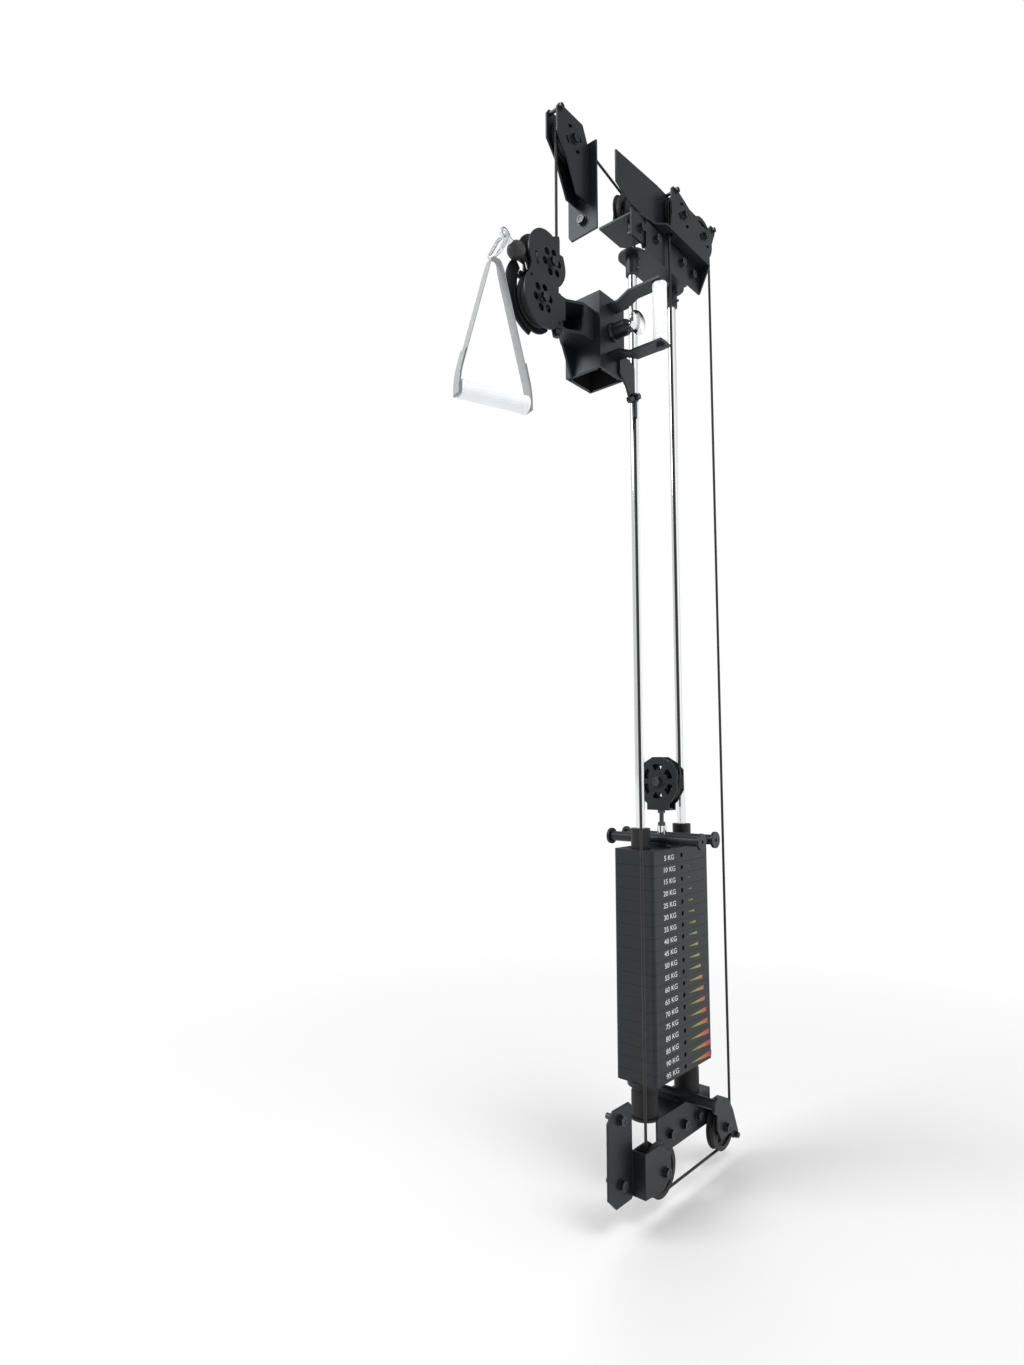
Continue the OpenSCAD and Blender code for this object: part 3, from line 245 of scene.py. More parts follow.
def mirrored(tree, way):
    """What a glossy ray meets in the direction way: mean + swing cos(azimuth - bright way), times
    1 - depth card ^ 0.7 for each card, where card falls from 1 on its azimuth to 0 at its width:
    (cos(azimuth - card way) - cos(width)) / (1 - cos(width)). The high card is dark too: it
    rises with the sine of the height from HIGH_CARD_START, times cos(azimuth - its way) ^ 2."""
    split = tree.nodes.new("ShaderNodeSeparateXYZ")
    tree.links.new(way, split.inputs[0])
    east = Value(tree, split.outputs["X"])
    north = Value(tree, split.outputs["Y"])
    height = Value(tree, split.outputs["Z"])
    flat = (east * east + north * north + 1e-4).math("SQRT")

    def toward(degrees):
        a = math.radians(degrees)
        return (east * math.cos(a) + north * math.sin(a)).math("DIVIDE", flat)

    level = toward(MIRROR_BRIGHT_WAY) * MIRROR_SWING + MIRROR_MEAN
    for card_way, wide, depth in CARDS:
        edge = math.cos(math.radians(wide))
        card = ((toward(card_way) - edge) * (1 / (1 - edge))).math("MAXIMUM", 0.0)
        level = level * (1.0 - card.math("POWER", 0.7) * depth)
    rise = ((height - HIGH_CARD_START) * (1 / HIGH_CARD_RISE)).math("MAXIMUM", 0.0)
    near = toward(HIGH_CARD_WAY).math("MAXIMUM", 0.0)
    return level * (1.0 - rise.math("MINIMUM", 1.0) * near * near)


def white_world():
    """White where the camera looks, soft white on dull surfaces, and the mirrored studio."""
    world = bpy.data.worlds.new("studio")
    world.use_nodes = True
    tree = world.node_tree
    ray = tree.nodes.new("ShaderNodeLightPath")
    way = tree.nodes.new("ShaderNodeTexCoord")
    seen = Value(tree, ray.outputs["Is Camera Ray"]).math(
        "MAXIMUM", Value(tree, ray.outputs["Is Transmission Ray"]))
    glossy = Value(tree, ray.outputs["Is Glossy Ray"])
    soft = glossy * (mirrored(tree, way.outputs["Generated"]) - WORLD_ON_OBJECT) + WORLD_ON_OBJECT
    level = seen * (1.0 - soft) + soft
    back = tree.nodes["Background"]
    back.inputs["Color"].default_value = (1, 1, 1, 1)
    tree.links.new(level.socket, back.inputs["Strength"])
    return world


def soft_lamp(name, spot, wide, watts, mirrored_too):
    """Square lamp. Glossy surfaces mirror it only where mirrored_too, and otherwise the world."""
    lamp = bpy.data.lights.new(name, "AREA")
    lamp.shape = "SQUARE"
    lamp.size = wide
    lamp.energy = watts
    stand = link_new(name, lamp)
    stand.visible_glossy = mirrored_too
    way = np.array(LAMP_AIM) - np.array(spot)
    flat = math.hypot(way[0], way[1])
    stand.location = spot
    stand.rotation_euler = (math.atan2(flat, -way[2]), 0, math.atan2(-way[0], way[1]))


stage_sheet("floor", FLOOR_WIDE, float(at(0, 0, 0)[2]), floor_paint())
bpy.context.scene.world = white_world()
for lamp_name, lamp_facts in LAMPS.items():
    soft_lamp(lamp_name, *lamp_facts)

# Sheet steel brackets and pulley cheeks: laser cut, bent, welded and powder coated satin black.
# Each solid is copied, its flat faces are made whole, and every sharp edge gets a small round.
COAT_GREY = 0.009
COAT_GLOSS = 0.4
COAT_SHEEN = 0.36
COAT_TINT = (0.9, 0.97, 1.0, 1.0)
COAT_EDGE = 0.7
SHARP = math.radians(32)
SAME_SPOT = 3e-6
SAME_PLANE = math.radians(0.5)


def powder_coat(name, grey, gloss, grain):
    """Powder coat: clouded near-black, with the fine orange peel of a baked film. Its shine is
    cool, as COAT_TINT gives it."""
    coat = Finish(name, Roughness=gloss, IOR=1.5, Specular_IOR_Level=COAT_SHEEN,
                  Specular_Tint=COAT_TINT)
    cloud = coat.noise(7.0, 2.0)
    peel = coat.noise(620.0, 2.0, 0.5)
    coat.feed(Base_Color=coat.ramp(cloud, (0.3, (grey * 0.8, grey * 0.9, grey * 1.04)),
                                   (0.7, (grey * 1.04, grey * 1.18, grey * 1.36))),
              Roughness=(cloud - 0.5) * 0.14 + (peel - 0.5) * 0.1 + gloss)
    coat.bump(peel, grain, 0.00016)
    return coat.material


def crisp(node, material, edge):
    """Dresses a node in a copy of its solid: its loose triangles are joined, faces in one plane
    become one, and every edge sharper than SHARP gets a round of edge millimetres."""
    source = NODES[node]
    mesh = source.data.copy()
    work = bmesh.new()
    work.from_mesh(mesh)
    bmesh.ops.remove_doubles(work, verts=work.verts, dist=SAME_SPOT)
    bmesh.ops.dissolve_limit(work, angle_limit=SAME_PLANE, verts=work.verts, edges=work.edges)
    work.to_mesh(mesh)
    work.free()
    mesh.materials.clear()
    mesh.materials.append(material)
    mesh.shade_smooth()
    mesh.set_sharp_from_angle(angle=SHARP)
    made = link_new(node + "_dressed", mesh)
    rounding = made.modifiers.new("edge", "BEVEL")
    rounding.width = edge * MM
    rounding.segments = 2
    rounding.limit_method = "ANGLE"
    rounding.angle_limit = SHARP
    even = made.modifiers.new("even", "WEIGHTED_NORMAL")
    even.keep_sharp = True
    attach(made, source["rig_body"])
    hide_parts(node)
    return made


COAT = powder_coat("satin_powder_coat", COAT_GREY, COAT_GLOSS, 0.35)
for node in ("base_bracket", "rod_holder", "upper_bracket", "inner_cheek", "outer_cheek",
             "inner_pulley_bracket", "top_bracket", "lower_front_bracket",
             "lower_rear_bracket"):
    crisp(node, COAT, COAT_EDGE)

# Storage pegs: turned steel tube with a pressed end disc, coated like the brackets. One stands
# on the base bracket and two lie across the head plate on a welded saddle.
for node in ("base_peg", "head_pegs"):
    crisp(node, COAT, 0.6)

# Weight plates: iron castings, ground on their broad faces and coated with satin enamel. The
# head plate is the one that the cable always lifts, with two flanged bushings on the rods.
IRON_GREY = 0.012
IRON_GLOSS = 0.48
IRON_EDGE = 1.1
IRON = powder_coat("iron_enamel", IRON_GREY, IRON_GLOSS, 0.6)
for node in ("weight_plates", "head_plate"):
    crisp(node, IRON, IRON_EDGE)

# Printing on the plates: a white weight number left of each pin hole, and right of it a wedge
# that grows with the weight from green through yellow and orange to red. Pad printed ink.
PLATE_FACE = 57.0
PLATE_FOOT = 242.0
PLATE_STEP = 25.0
PLATE_COUNT = 18
PLATE_KG = 5
HEAVIEST_KG = 95
LIGHTEST_KG = 10
HOLE_UP = 12.5
NUMBER_Y = 178.0
NUMBER_HIGH = 10.5
NUMBER_STRETCH = 1.32
NUMBER_BOLD = 0.1
CAPITAL_SHARE = 0.7
WEDGE_Y = 257.0
WEDGE_SHORT = 6.3
WEDGE_PER_KG = 1.019
WEDGE_SLOPE = (0.068, 0.05)
WEDGE_BLUNT = 0.5
WEDGE_BACK = 0.02
INK_LIFT = 0.12
INK_THICK = 0.05
WEDGE_TINTS = ((0.0, (0.12, 0.19, 0.04)), (0.33, (0.27, 0.29, 0.05)), (0.6, (0.42, 0.14, 0.04)),
               (0.85, (0.38, 0.045, 0.035)), (1.0, (0.34, 0.016, 0.03)))


def ink(name, tone):
    """Thin flat print: even colour with a faint speckle of the enamel below."""
    print_ = Finish(name, Roughness=0.5)
    speck = print_.noise(2600.0, 2.0)
    print_.feed(Base_Color=print_.ramp(speck, (0.25, tuple(t * 0.8 for t in tone)),
                                       (0.6, tone)))
    return print_.material


def number_mesh(kilos, row_z):
    """Vertices and faces of one printed number, set on the plate's face and read from outside."""
    curve = bpy.data.curves.new("number", "FONT")
    curve.body = f"{kilos} KG"
    curve.size = NUMBER_HIGH / CAPITAL_SHARE * MM
    curve.align_x = "CENTER"
    curve.align_y = "CENTER"
    curve.offset = NUMBER_BOLD * MM
    curve.extrude = INK_THICK * MM
    curve.resolution_u = 4
    stand_in = link_new("number", curve)
    shape = bpy.data.meshes.new_from_object(
        stand_in.evaluated_get(bpy.context.evaluated_depsgraph_get()))
    bpy.data.objects.remove(stand_in)
    flat = np.empty(len(shape.vertices) * 3)
    shape.vertices.foreach_get("co", flat)
    flat = flat.reshape(-1, 3)
    base = at(PLATE_FACE + INK_LIFT, NUMBER_Y, row_z)
    spots = np.column_stack([base[0] + flat[:, 2], base[1] + flat[:, 0] * NUMBER_STRETCH,
                             base[2] + flat[:, 1]])
    faces = [tuple(p.vertices) for p in shape.polygons]
    bpy.data.meshes.remove(shape)
    return spots, faces


def printed(name, parts, material, body):
    """One piece from several (vertices, faces) parts."""
    shift = np.cumsum([0] + [len(spots) for spots, _ in parts])
    faces = [tuple(i + s for i in f) for s, (_, fs) in zip(shift, parts) for f in fs]
    mesh = bpy.data.meshes.new(name)
    mesh.from_pydata(np.vstack([spots for spots, _ in parts]).tolist(), [], faces)
    mesh.materials.append(material)
    made = link_new(name, mesh)
    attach(made, body)


def wedge_mesh(kilos, row_z):
    """A flat wedge with a blunt left end: its edges part with the distance along it."""
    long = WEDGE_SHORT + WEDGE_PER_KG * (kilos - LIGHTEST_KG)
    low = row_z - WEDGE_BLUNT - WEDGE_SLOPE[0] * long
    high = row_z + WEDGE_BLUNT + WEDGE_SLOPE[1] * long
    corners = [(WEDGE_Y, row_z - WEDGE_BLUNT), (WEDGE_Y + long, low), (WEDGE_Y + long, high),
               (WEDGE_Y, row_z + WEDGE_BLUNT)]
    spots = np.array([at(PLATE_FACE + x, y, z) for x in (WEDGE_BACK, INK_LIFT + INK_THICK)
                      for y, z in corners])
    return spots, [(3, 2, 1, 0), (4, 5, 6, 7), (0, 1, 5, 4), (1, 2, 6, 5), (2, 3, 7, 6),
                   (3, 0, 4, 7)]


def wedge_ink():
    """Ink whose colour runs from green to red along the plates' length, alike on all rows."""
    print_ = Finish("wedge_ink", Roughness=0.5)
    start = float(at(0, WEDGE_Y, 0)[1])
    along = print_.node("ShaderNodeSeparateXYZ", out="Y", Vector=print_.place)
    reach = (WEDGE_SHORT + WEDGE_PER_KG * (HEAVIEST_KG - LIGHTEST_KG)) * MM
    print_.feed(Base_Color=print_.ramp((along - start) * (1 / reach), *WEDGE_TINTS))
    return print_.material


NUMBER_INK = ink("number_ink", (0.78, 0.79, 0.8))
rows = [(HEAVIEST_KG - PLATE_KG * i, PLATE_FOOT + PLATE_STEP * i + HOLE_UP)
        for i in range(PLATE_COUNT)]
printed("plate_numbers", [number_mesh(*row) for row in rows], NUMBER_INK, "frame")
printed("plate_wedges", [wedge_mesh(*row) for row in rows], wedge_ink(), "frame")
printed("head_number", [number_mesh(PLATE_KG, PLATE_FOOT + PLATE_STEP * PLATE_COUNT + HOLE_UP)],
        NUMBER_INK, NODES["head_plate"]["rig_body"])

# Guide rods, selector rod, coupling and spring pin: ground steel bar with hard chrome, bright
# and with a faint lengthwise polish.
CHROME_GREY = 0.84


def polished(name, tone, gloss, grain):
    """Plated steel whose roughness is drawn out along Z, as a rod is polished."""
    plate = Finish(name, Metallic=1.0, Roughness=gloss)
    streak = plate.noise(60.0, 3.0, 0.6, plate.stretched(22, 22, 0.5))
    dark = tuple(t * 0.9 for t in tone)
    plate.feed(Base_Color=plate.ramp(streak, (0.3, dark), (0.65, tone)),
               Roughness=(streak - 0.5) * grain + gloss)
    return plate.material


CHROME = polished("hard_chrome", (CHROME_GREY, CHROME_GREY * 1.01, CHROME_GREY * 1.02), 0.09, 0.06)
for node in ("guide_rods", "selector_rod", "pin_plunger", "pin_knob"):
    crisp(node, CHROME, 0.4)
coupling = crisp("stack_coupling", CHROME, 0.4)

# Bolts, axles and retainer pins: hexagon screws with black oxide, a dark metal with a soft
# sheen. The stud and nuts over the coupling's chromed sleeve are the same.
OXIDE = polished("black_oxide", (0.075, 0.078, 0.084), 0.34, 0.12)
for node in ("frame_bolts", "frame_axles", "cable_retainers", "stack_axle", "head_axles"):
    crisp(node, OXIDE, 0.4)
SLEEVE_TOP_Z = 768.0
coupling.data.materials.append(OXIDE)
for face in coupling.data.polygons:
    if face.center.z > at(0, 0, SLEEVE_TOP_Z + 0.05)[2]:
        face.material_index = 1

# Pulleys, wear liners and bushings: black glass-filled nylon, moulded, with a fine spark-eroded
# texture, the same on rims and webs.
NYLON_GREY = 0.009


def moulded(name, grey, gloss, grain, depth):
    """Moulded plastic or rubber: cloudy grey with a fine even texture."""
    shell = Finish(name, Roughness=gloss, IOR=1.47, Specular_IOR_Level=0.34)
    cloud = shell.noise(24.0, 2.0)
    tooth = shell.noise(grain, 3.0, 0.6)
    shell.feed(Base_Color=shell.ramp(cloud, (0.3, grey * 0.85), (0.7, grey * 1.18)),
               Roughness=(cloud - 0.5) * 0.12 + gloss)
    shell.bump(tooth, 0.35, depth)
    return shell.material


NYLON = moulded("black_nylon", NYLON_GREY, 0.44, 1300.0, 0.00014)
for node in ("top_wheel", "inner_wheel", "stack_wheel", "upper_wheel_a", "upper_wheel_b",
             "lower_rear_wheel", "lower_front_wheel", "head_upper_wheel", "head_lower_wheel",
             "trolley_liners", "head_bushings"):
    crisp(node, NYLON, 0.5)

# Stack pulley's cheeks: two coated plates with rounded slots, between the coupling and the axle.
crisp("stack_cheeks", COAT, COAT_EDGE)

# Bumpers under the stack: black rubber cylinders round the rods, and coated steel discs on them.
RUBBER = moulded("black_rubber", 0.011, 0.62, 900.0, 0.0002)
crisp("bumpers", RUBBER, 1.2)
crisp("bumper_discs", COAT, 0.8)

# The cable: 6 mm wire rope in a black nylon jacket, through which the lay of its strands shows
# as a faint twist. It is swept along the route that the pulleys give it, arc after arc.
CABLE_R = 3.0
CABLE_SIDES = 20
PITCH_R = 48.5
TOP_R = 43.0
NIP_R = 35.0
TOP_Z = 2237.0
TOP_Y = -92.0
SWIVEL_Y = -135.0
INNER_WHEEL = (-34.5, 183.9, 2231.5)
INNER_TURN = 7.125
INNER_X = -40.5
OUTER_X = 56.5
STACK_X = 8.0
STACK_Y = 232.0
STACK_WHEEL_Z = 868.0
WHEEL_A_Y = 280.5
WHEEL_B_Y = 384.5
LOW_Z = 83.5
LOW_REAR_Y = 384.5
LOW_FRONT_Y = 116.0
RETURN_Y = 67.5
RETURN_Z = 1659.0
NIP = (-170.0, 1920.0)
BALL = (-263.0, 1906.0)
BALL_D = 37.0
LAY = 0.03


def skin(name, grid, uv=None):
    """Mesh over a grid of points of shape (rows, columns, 3): one quad for each cell, the last
    column joined to the first, and one face over each of the first and last rows."""
    rows_n, cols = grid.shape[:2]
    i = np.arange(rows_n - 1)[:, None]
    j = np.arange(cols)[None, :]
    k = (j + 1) % cols
    quads = np.stack([i * cols + j, i * cols + k, (i + 1) * cols + k, (i + 1) * cols + j], -1)
    faces = quads.reshape(-1, 4).tolist()
    faces.append(list(range(cols))[::-1])
    faces.append(list(range((rows_n - 1) * cols, rows_n * cols)))
    mesh = bpy.data.meshes.new(name)
    mesh.from_pydata(grid.reshape(-1, 3).tolist(), [], faces)
    mesh.shade_smooth()
    if uv is not None:
        corner = np.stack([uv[:-1, :-1], uv[:-1, 1:], uv[1:, 1:], uv[1:, :-1]], -2)
        table = np.zeros((len(mesh.loops), 2))
        table[:corner.size // 2] = corner.reshape(-1, 2)
        mesh.uv_layers.new(name="along").data.foreach_set("uv", table.ravel())
    return mesh


def arc(centre, radius, start, stop, flat=0.0, steps=24):
    """Points on an arc in an upright plane: centre + radius (cos a, sin a), with a from start to
    stop degrees measured from the plane's horizontal, which is +Y turned by flat degrees."""
    a = np.radians(np.linspace(start, stop, steps))
    f = math.radians(flat)
    out = np.cos(a)[:, None] * np.array([-math.sin(f), math.cos(f), 0])
    up = np.sin(a)[:, None] * np.array([0, 0, 1.0])
    return np.array(centre) + radius * (out + up)


def straight(p, q, steps):
    """Points evenly spaced from p to q, without either end."""
    t = np.linspace(0, 1, steps + 2)[1:-1, None]
    return np.array(p) * (1 - t) + np.array(q) * t


def span(p, q, steps=90):
    """Points from p to q, with both ends."""
    return np.vstack([[p], straight(p, q, steps), [q]])


def rope(name, route, across):
    """Tube along route: at each point a circle of CABLE_R in the plane of two vectors square to
    the route's direction, the first of them as near to across as can be. Its map holds the
    metres along the tube and the part of a turn round it."""
    route = np.array(route, float)
    way = np.gradient(route, axis=0)
    way /= np.linalg.norm(way, axis=1)[:, None]
    side = np.array(across, float) - way * (way @ np.array(across, float))[:, None]
    side /= np.linalg.norm(side, axis=1)[:, None]
    other = np.cross(way, side)
    turn = np.linspace(0, 1, CABLE_SIDES + 1)
    a = 2 * np.pi * turn[:-1]
    ring = np.cos(a)[None, :, None] * side[:, None] + np.sin(a)[None, :, None] * other[:, None]
    grid = (route[:, None] + CABLE_R * ring + POST) * MM
    run = np.append(0, np.cumsum(np.linalg.norm(np.diff(route, axis=0), axis=1))) * MM
    uv = np.stack(np.meshgrid(run, turn, indexing="ij"), -1)
    return skin(name, grid, uv)


def jacket():
    """Nylon jacket: black and semi-gloss, with the strands' lay as a slow helical swell."""
    coat = Finish("cable_jacket", Roughness=0.45, IOR=1.5, Specular_IOR_Level=0.4)
    spot = coat.node("ShaderNodeUVMap", settings={"uv_map": "along"})
    run = coat.node("ShaderNodeSeparateXYZ", out="X", Vector=spot)
    turn = coat.node("ShaderNodeSeparateXYZ", out="Y", Vector=spot)
    lay = ((run * (1 / LAY) + turn) * (12 * math.pi)).math("SINE")
    scuff = coat.noise(90.0, 4.0)
    coat.feed(Base_Color=coat.ramp(scuff, (0.35, 0.008), (0.75, 0.018)),
              Roughness=(scuff - 0.5) * 0.2 + 0.45)
    coat.bump(lay * 0.5 + 0.5, 0.35, 0.00018)
    return coat.material


JACKET = jacket()


def cable(name, route, across, *nodes):
    made = link_new(name, rope(name, route, across))
    made.data.materials.append(JACKET)
    if nodes:
        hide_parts(*nodes)
    return made


exit_reach = math.hypot(BALL[0] - NIP[0], BALL[1] - NIP[1])
exit_turn = 360 + math.degrees(math.atan2(BALL[1] - NIP[1], BALL[0] - NIP[0])
                               + math.acos(NIP_R / exit_reach))
exit_spot = arc((0, *NIP), NIP_R, exit_turn, exit_turn, steps=1)[0]
inner_top = np.array([INNER_WHEEL[0], INNER_WHEEL[1], INNER_WHEEL[2] + PITCH_R])

over = np.vstack([
    arc((0, TOP_Y, TOP_Z), TOP_R, 180, 91),
    straight((0, TOP_Y, TOP_Z + TOP_R), inner_top, 16),
    arc(INNER_WHEEL, PITCH_R, 90, 0, INNER_TURN),
])
outer = np.vstack([
    [(OUTER_X, STACK_Y, INNER_WHEEL[2])],
    arc((OUTER_X, WHEEL_A_Y, TOP_Z), PITCH_R, 180, 90),
    straight((OUTER_X, WHEEL_A_Y, TOP_Z + PITCH_R), (OUTER_X, WHEEL_B_Y, TOP_Z + PITCH_R), 8),
    arc((OUTER_X, WHEEL_B_Y, TOP_Z), PITCH_R, 90, 0),
    straight((OUTER_X, WHEEL_B_Y + PITCH_R, TOP_Z), (OUTER_X, WHEEL_B_Y + PITCH_R, LOW_Z), 60),
    arc((OUTER_X, LOW_REAR_Y, LOW_Z), PITCH_R, 0, -90),
    straight((OUTER_X, LOW_REAR_Y, LOW_Z - PITCH_R), (OUTER_X, LOW_FRONT_Y, LOW_Z - PITCH_R), 16),
    arc((OUTER_X, LOW_FRONT_Y, LOW_Z), PITCH_R, 270, 180),
])
for piece in (cable("cable_over_the_top", over, (1, 0, 0), "cable_fixed_runs"),
              cable("cable_outer_run", outer, (1, 0, 0))):
    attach(piece, "frame")

half_turn = np.radians(np.linspace(180, 360, 48))
turn_round_stack = np.array([STACK_X, STACK_Y, STACK_WHEEL_Z]) + PITCH_R * np.stack(
    [np.cos(half_turn), half_turn * 0, np.sin(half_turn)], -1)
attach(cable("cable_under_stack_wheel", turn_round_stack, (0, 1, 0), "cable_stack_wrap"),
        "stack_head")

for side_name, x in (("inner", INNER_X), ("outer", OUTER_X)):
    top_end = (x, STACK_Y, INNER_WHEEL[2])
    low_end = (x, STACK_Y, STACK_WHEEL_Z)
    strand = cable(f"cable_stack_strand_{side_name}", span(top_end, low_end), (1, 0, 0),
                   "cable_stack_strands")
    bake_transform(strand)

strand = cable("cable_front", span((0, SWIVEL_Y, TOP_Z), (0, SWIVEL_Y, NIP[1])), (1, 0, 0),
               "cable_front_strand")
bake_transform(strand)

strand = cable("cable_return", span((OUTER_X, RETURN_Y, LOW_Z), (OUTER_X, RETURN_Y, RETURN_Z)),
               (1, 0, 0), "cable_return_strand")
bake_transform(strand)

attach(cable("cable_round_nip", arc((0, *NIP), NIP_R, exit_turn, 360), (1, 0, 0),
              "cable_nip_turn"), "swivel_head")

ball_spot = (0, *BALL)
pull = cable("cable_free_end", span(exit_spot, ball_spot, 30), (1, 0, 0), "cable_pull_end")
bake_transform(pull)

# Trolley: a welded square sleeve that slides on the post, with its yoke for the swivel head, the
# turned housing of the locking pin and the tab that takes the cable's other end.
for node in ("trolley_sleeve", "yoke", "anchor_tab", "pin_housing"):
    crisp(node, COAT, COAT_EDGE)

# Grab handle of the trolley: two bent flat arms and a white soft grip with fine lengthwise
# flutes between two smooth end bands, moulded onto a tube.
crisp("grab_arms", COAT, 0.6)
GRAB_X = 163.0
GRAB_Z = (1766.0, 1894.0)
GRAB_R = 14.6


def turned(name, foot, way, across, profile, sides=96, flutes=0, deep=0.0, plain=0.0):
    """Turned piece: the profile's (s, radius) pairs carried round the axis way from foot. With
    flutes, the radius is less by deep (1 - cos(flutes a)) / 2 at the angle a, except in the
    last plain millimetres at each end."""
    s_corner = np.array([p[0] for p in profile], float)
    r_corner = np.array([p[1] for p in profile], float)
    s = s_corner
    r = r_corner
    if flutes:
        s = np.unique(np.concatenate([s_corner, np.linspace(s_corner[0], s_corner[-1], 120)]))
        r = np.interp(s, s_corner, r_corner)
    a = np.linspace(0, 2 * np.pi, sides, endpoint=False)
    fade = np.clip((s - s[0] - plain) / 3, 0, 1) * np.clip((s[-1] - plain - s) / 3, 0, 1)
    wave = deep * fade[:, None] * (1 - np.cos(flutes * a))[None, :] / 2
    way = np.array(way, float) / np.linalg.norm(way)
    first = np.array(across, float) - way * np.dot(way, across)
    first /= np.linalg.norm(first)
    ring = np.cos(a)[:, None] * first + np.sin(a)[:, None] * np.cross(way, first)
    grid = np.array(foot) + s[:, None, None] * way + (r[:, None] - wave)[..., None] * ring
    return skin(name, (grid + POST) * MM)


def soft_white(name, tone, gloss):
    """White thermoplastic rubber: slightly darker in clouds, matt, with a skin texture."""
    hide = Finish(name, Roughness=gloss, IOR=1.48)
    cloud = hide.noise(35.0, 3.0)
    hide.feed(Base_Color=hide.ramp(cloud, (0.3, tuple(t * 0.93 for t in tone)), (0.7, tone)),
              Roughness=(cloud - 0.5) * 0.15 + gloss)
    hide.bump(hide.noise(1600.0, 2.0), 0.25, 0.0001)
    return hide.material


def stand(name, mesh, material, body, slot, *nodes):
    """Puts a finished mesh in the scene on a body, with its material. The slot argument is not
    used.
    """
    made = link_new(name, mesh)
    made.data.materials.append(material)
    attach(made, body)
    if nodes:
        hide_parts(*nodes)
    return made


WHITE_RUBBER = soft_white("white_rubber", (0.86, 0.87, 0.88), 0.36)
grab_long = GRAB_Z[1] - GRAB_Z[0]
stand("grab_grip_fluted", turned(
    "grab_grip_fluted", (GRAB_X, 0, GRAB_Z[0]), (0, 0, 1), (1, 0, 0),
    [(0, 12.6), (0.6, 14.2), (1.6, 14.9), (8, 15), (9.2, GRAB_R), (grab_long - 9.2, GRAB_R),
     (grab_long - 8, 15), (grab_long - 1.6, 14.9), (grab_long - 0.6, 14.2), (grab_long, 12.6)],
    224, 28, 0.35, 9.5), WHITE_RUBBER, "trolley", "grip_foam", "grab_grip")

# Swivel head: two coated cheeks on a pivot block, with their ring of holes round each axle, and
# the flat crescent beside the large pulley that guards the cable when the head swings.
for node in ("head_cheeks", "head_pivot", "arc_guard"):
    crisp(node, COAT, COAT_EDGE)

# Cable end: a hard black ball that stops against the head, a chromed ferrule crimped on the
# cable and a flat eye that takes the carabiner.
EYE = (-297.0, 1922.0)
BALL_SEAM = 0.25
BALL_SEAM_WIDE = 1.6
FERRULE_R = 6.5
EYE_OUT = 13.0
EYE_IN = 6.6
EYE_THICK = 2.5

ball_a = np.linspace(3, 177, 89)
ball_r = BALL_D / 2 - BALL_SEAM * np.exp(-((ball_a - 90) / BALL_SEAM_WIDE) ** 2)
ball_profile = np.stack([-np.cos(np.radians(ball_a)) * ball_r,
                         np.sin(np.radians(ball_a)) * ball_r], -1)
stand("ball_turned", turned("ball_turned", ball_spot, (0, -1, -0.15), (1, 0, 0), ball_profile),
      moulded("ball_plastic", 0.028, 0.46, 1500.0, 0.0001), "cable_end", "ball_plastic",
      "ball_stop")
eye_way = np.array([0, BALL[0] - EYE[0], BALL[1] - EYE[1]])
ferrule_long = np.linalg.norm(eye_way) - BALL_D / 2 + 1.2 - 10
eye_way /= np.linalg.norm(eye_way)
stand("cable_ferrule", turned(
    "cable_ferrule", np.array([0, *EYE]) + 8 * eye_way, eye_way, (1, 0, 0),
    [(0, 4.0), (0.4, 5.6), (1.2, FERRULE_R), (2.4, FERRULE_R), (2.8, 5.9), (3.4, 5.9),
     (3.8, FERRULE_R), (ferrule_long, FERRULE_R), (ferrule_long + 1.0, 6.1),
     (ferrule_long + 3.0, 6.0)], 48), CHROME, "cable_end", "chrome")
eye_mesh = turned("cable_eye", (0, *EYE), (1, 0, 0), (0, 1, 0), [
    (-EYE_THICK, EYE_IN + 0.5), (-EYE_THICK, EYE_OUT - 0.8), (0.8 - EYE_THICK, EYE_OUT),
    (EYE_THICK - 0.8, EYE_OUT), (EYE_THICK, EYE_OUT - 0.8), (EYE_THICK, EYE_IN + 0.5),
    (EYE_THICK - 0.5, EYE_IN), (0.5 - EYE_THICK, EYE_IN), (-EYE_THICK, EYE_IN + 0.5)], 64)
work = bmesh.new()
work.from_mesh(eye_mesh)
bmesh.ops.delete(work, geom=[f for f in work.faces if len(f.verts) > 4], context="FACES_ONLY")
bmesh.ops.remove_doubles(work, verts=work.verts, dist=1e-6)
bmesh.ops.recalc_face_normals(work, faces=work.faces)
work.to_mesh(eye_mesh)
work.free()
stand("cable_eye", eye_mesh, CHROME, "cable_end", "chrome")

# Carabiner: bright zinc-plated round wire bent to a long ring, with its sprung gate and sleeve.
# The locking pin's spring has the same plating; the clevis under the trolley is black.
LINK_METAL = polished("bright_zinc", (0.8, 0.81, 0.83), 0.3, 0.1)
for node in ("carabiner", "carabiner_gate"):
    crisp(node, LINK_METAL, 0.3)
crisp("pin_spring", LINK_METAL, 0.3)
crisp("anchor_hook", OXIDE, 0.3)

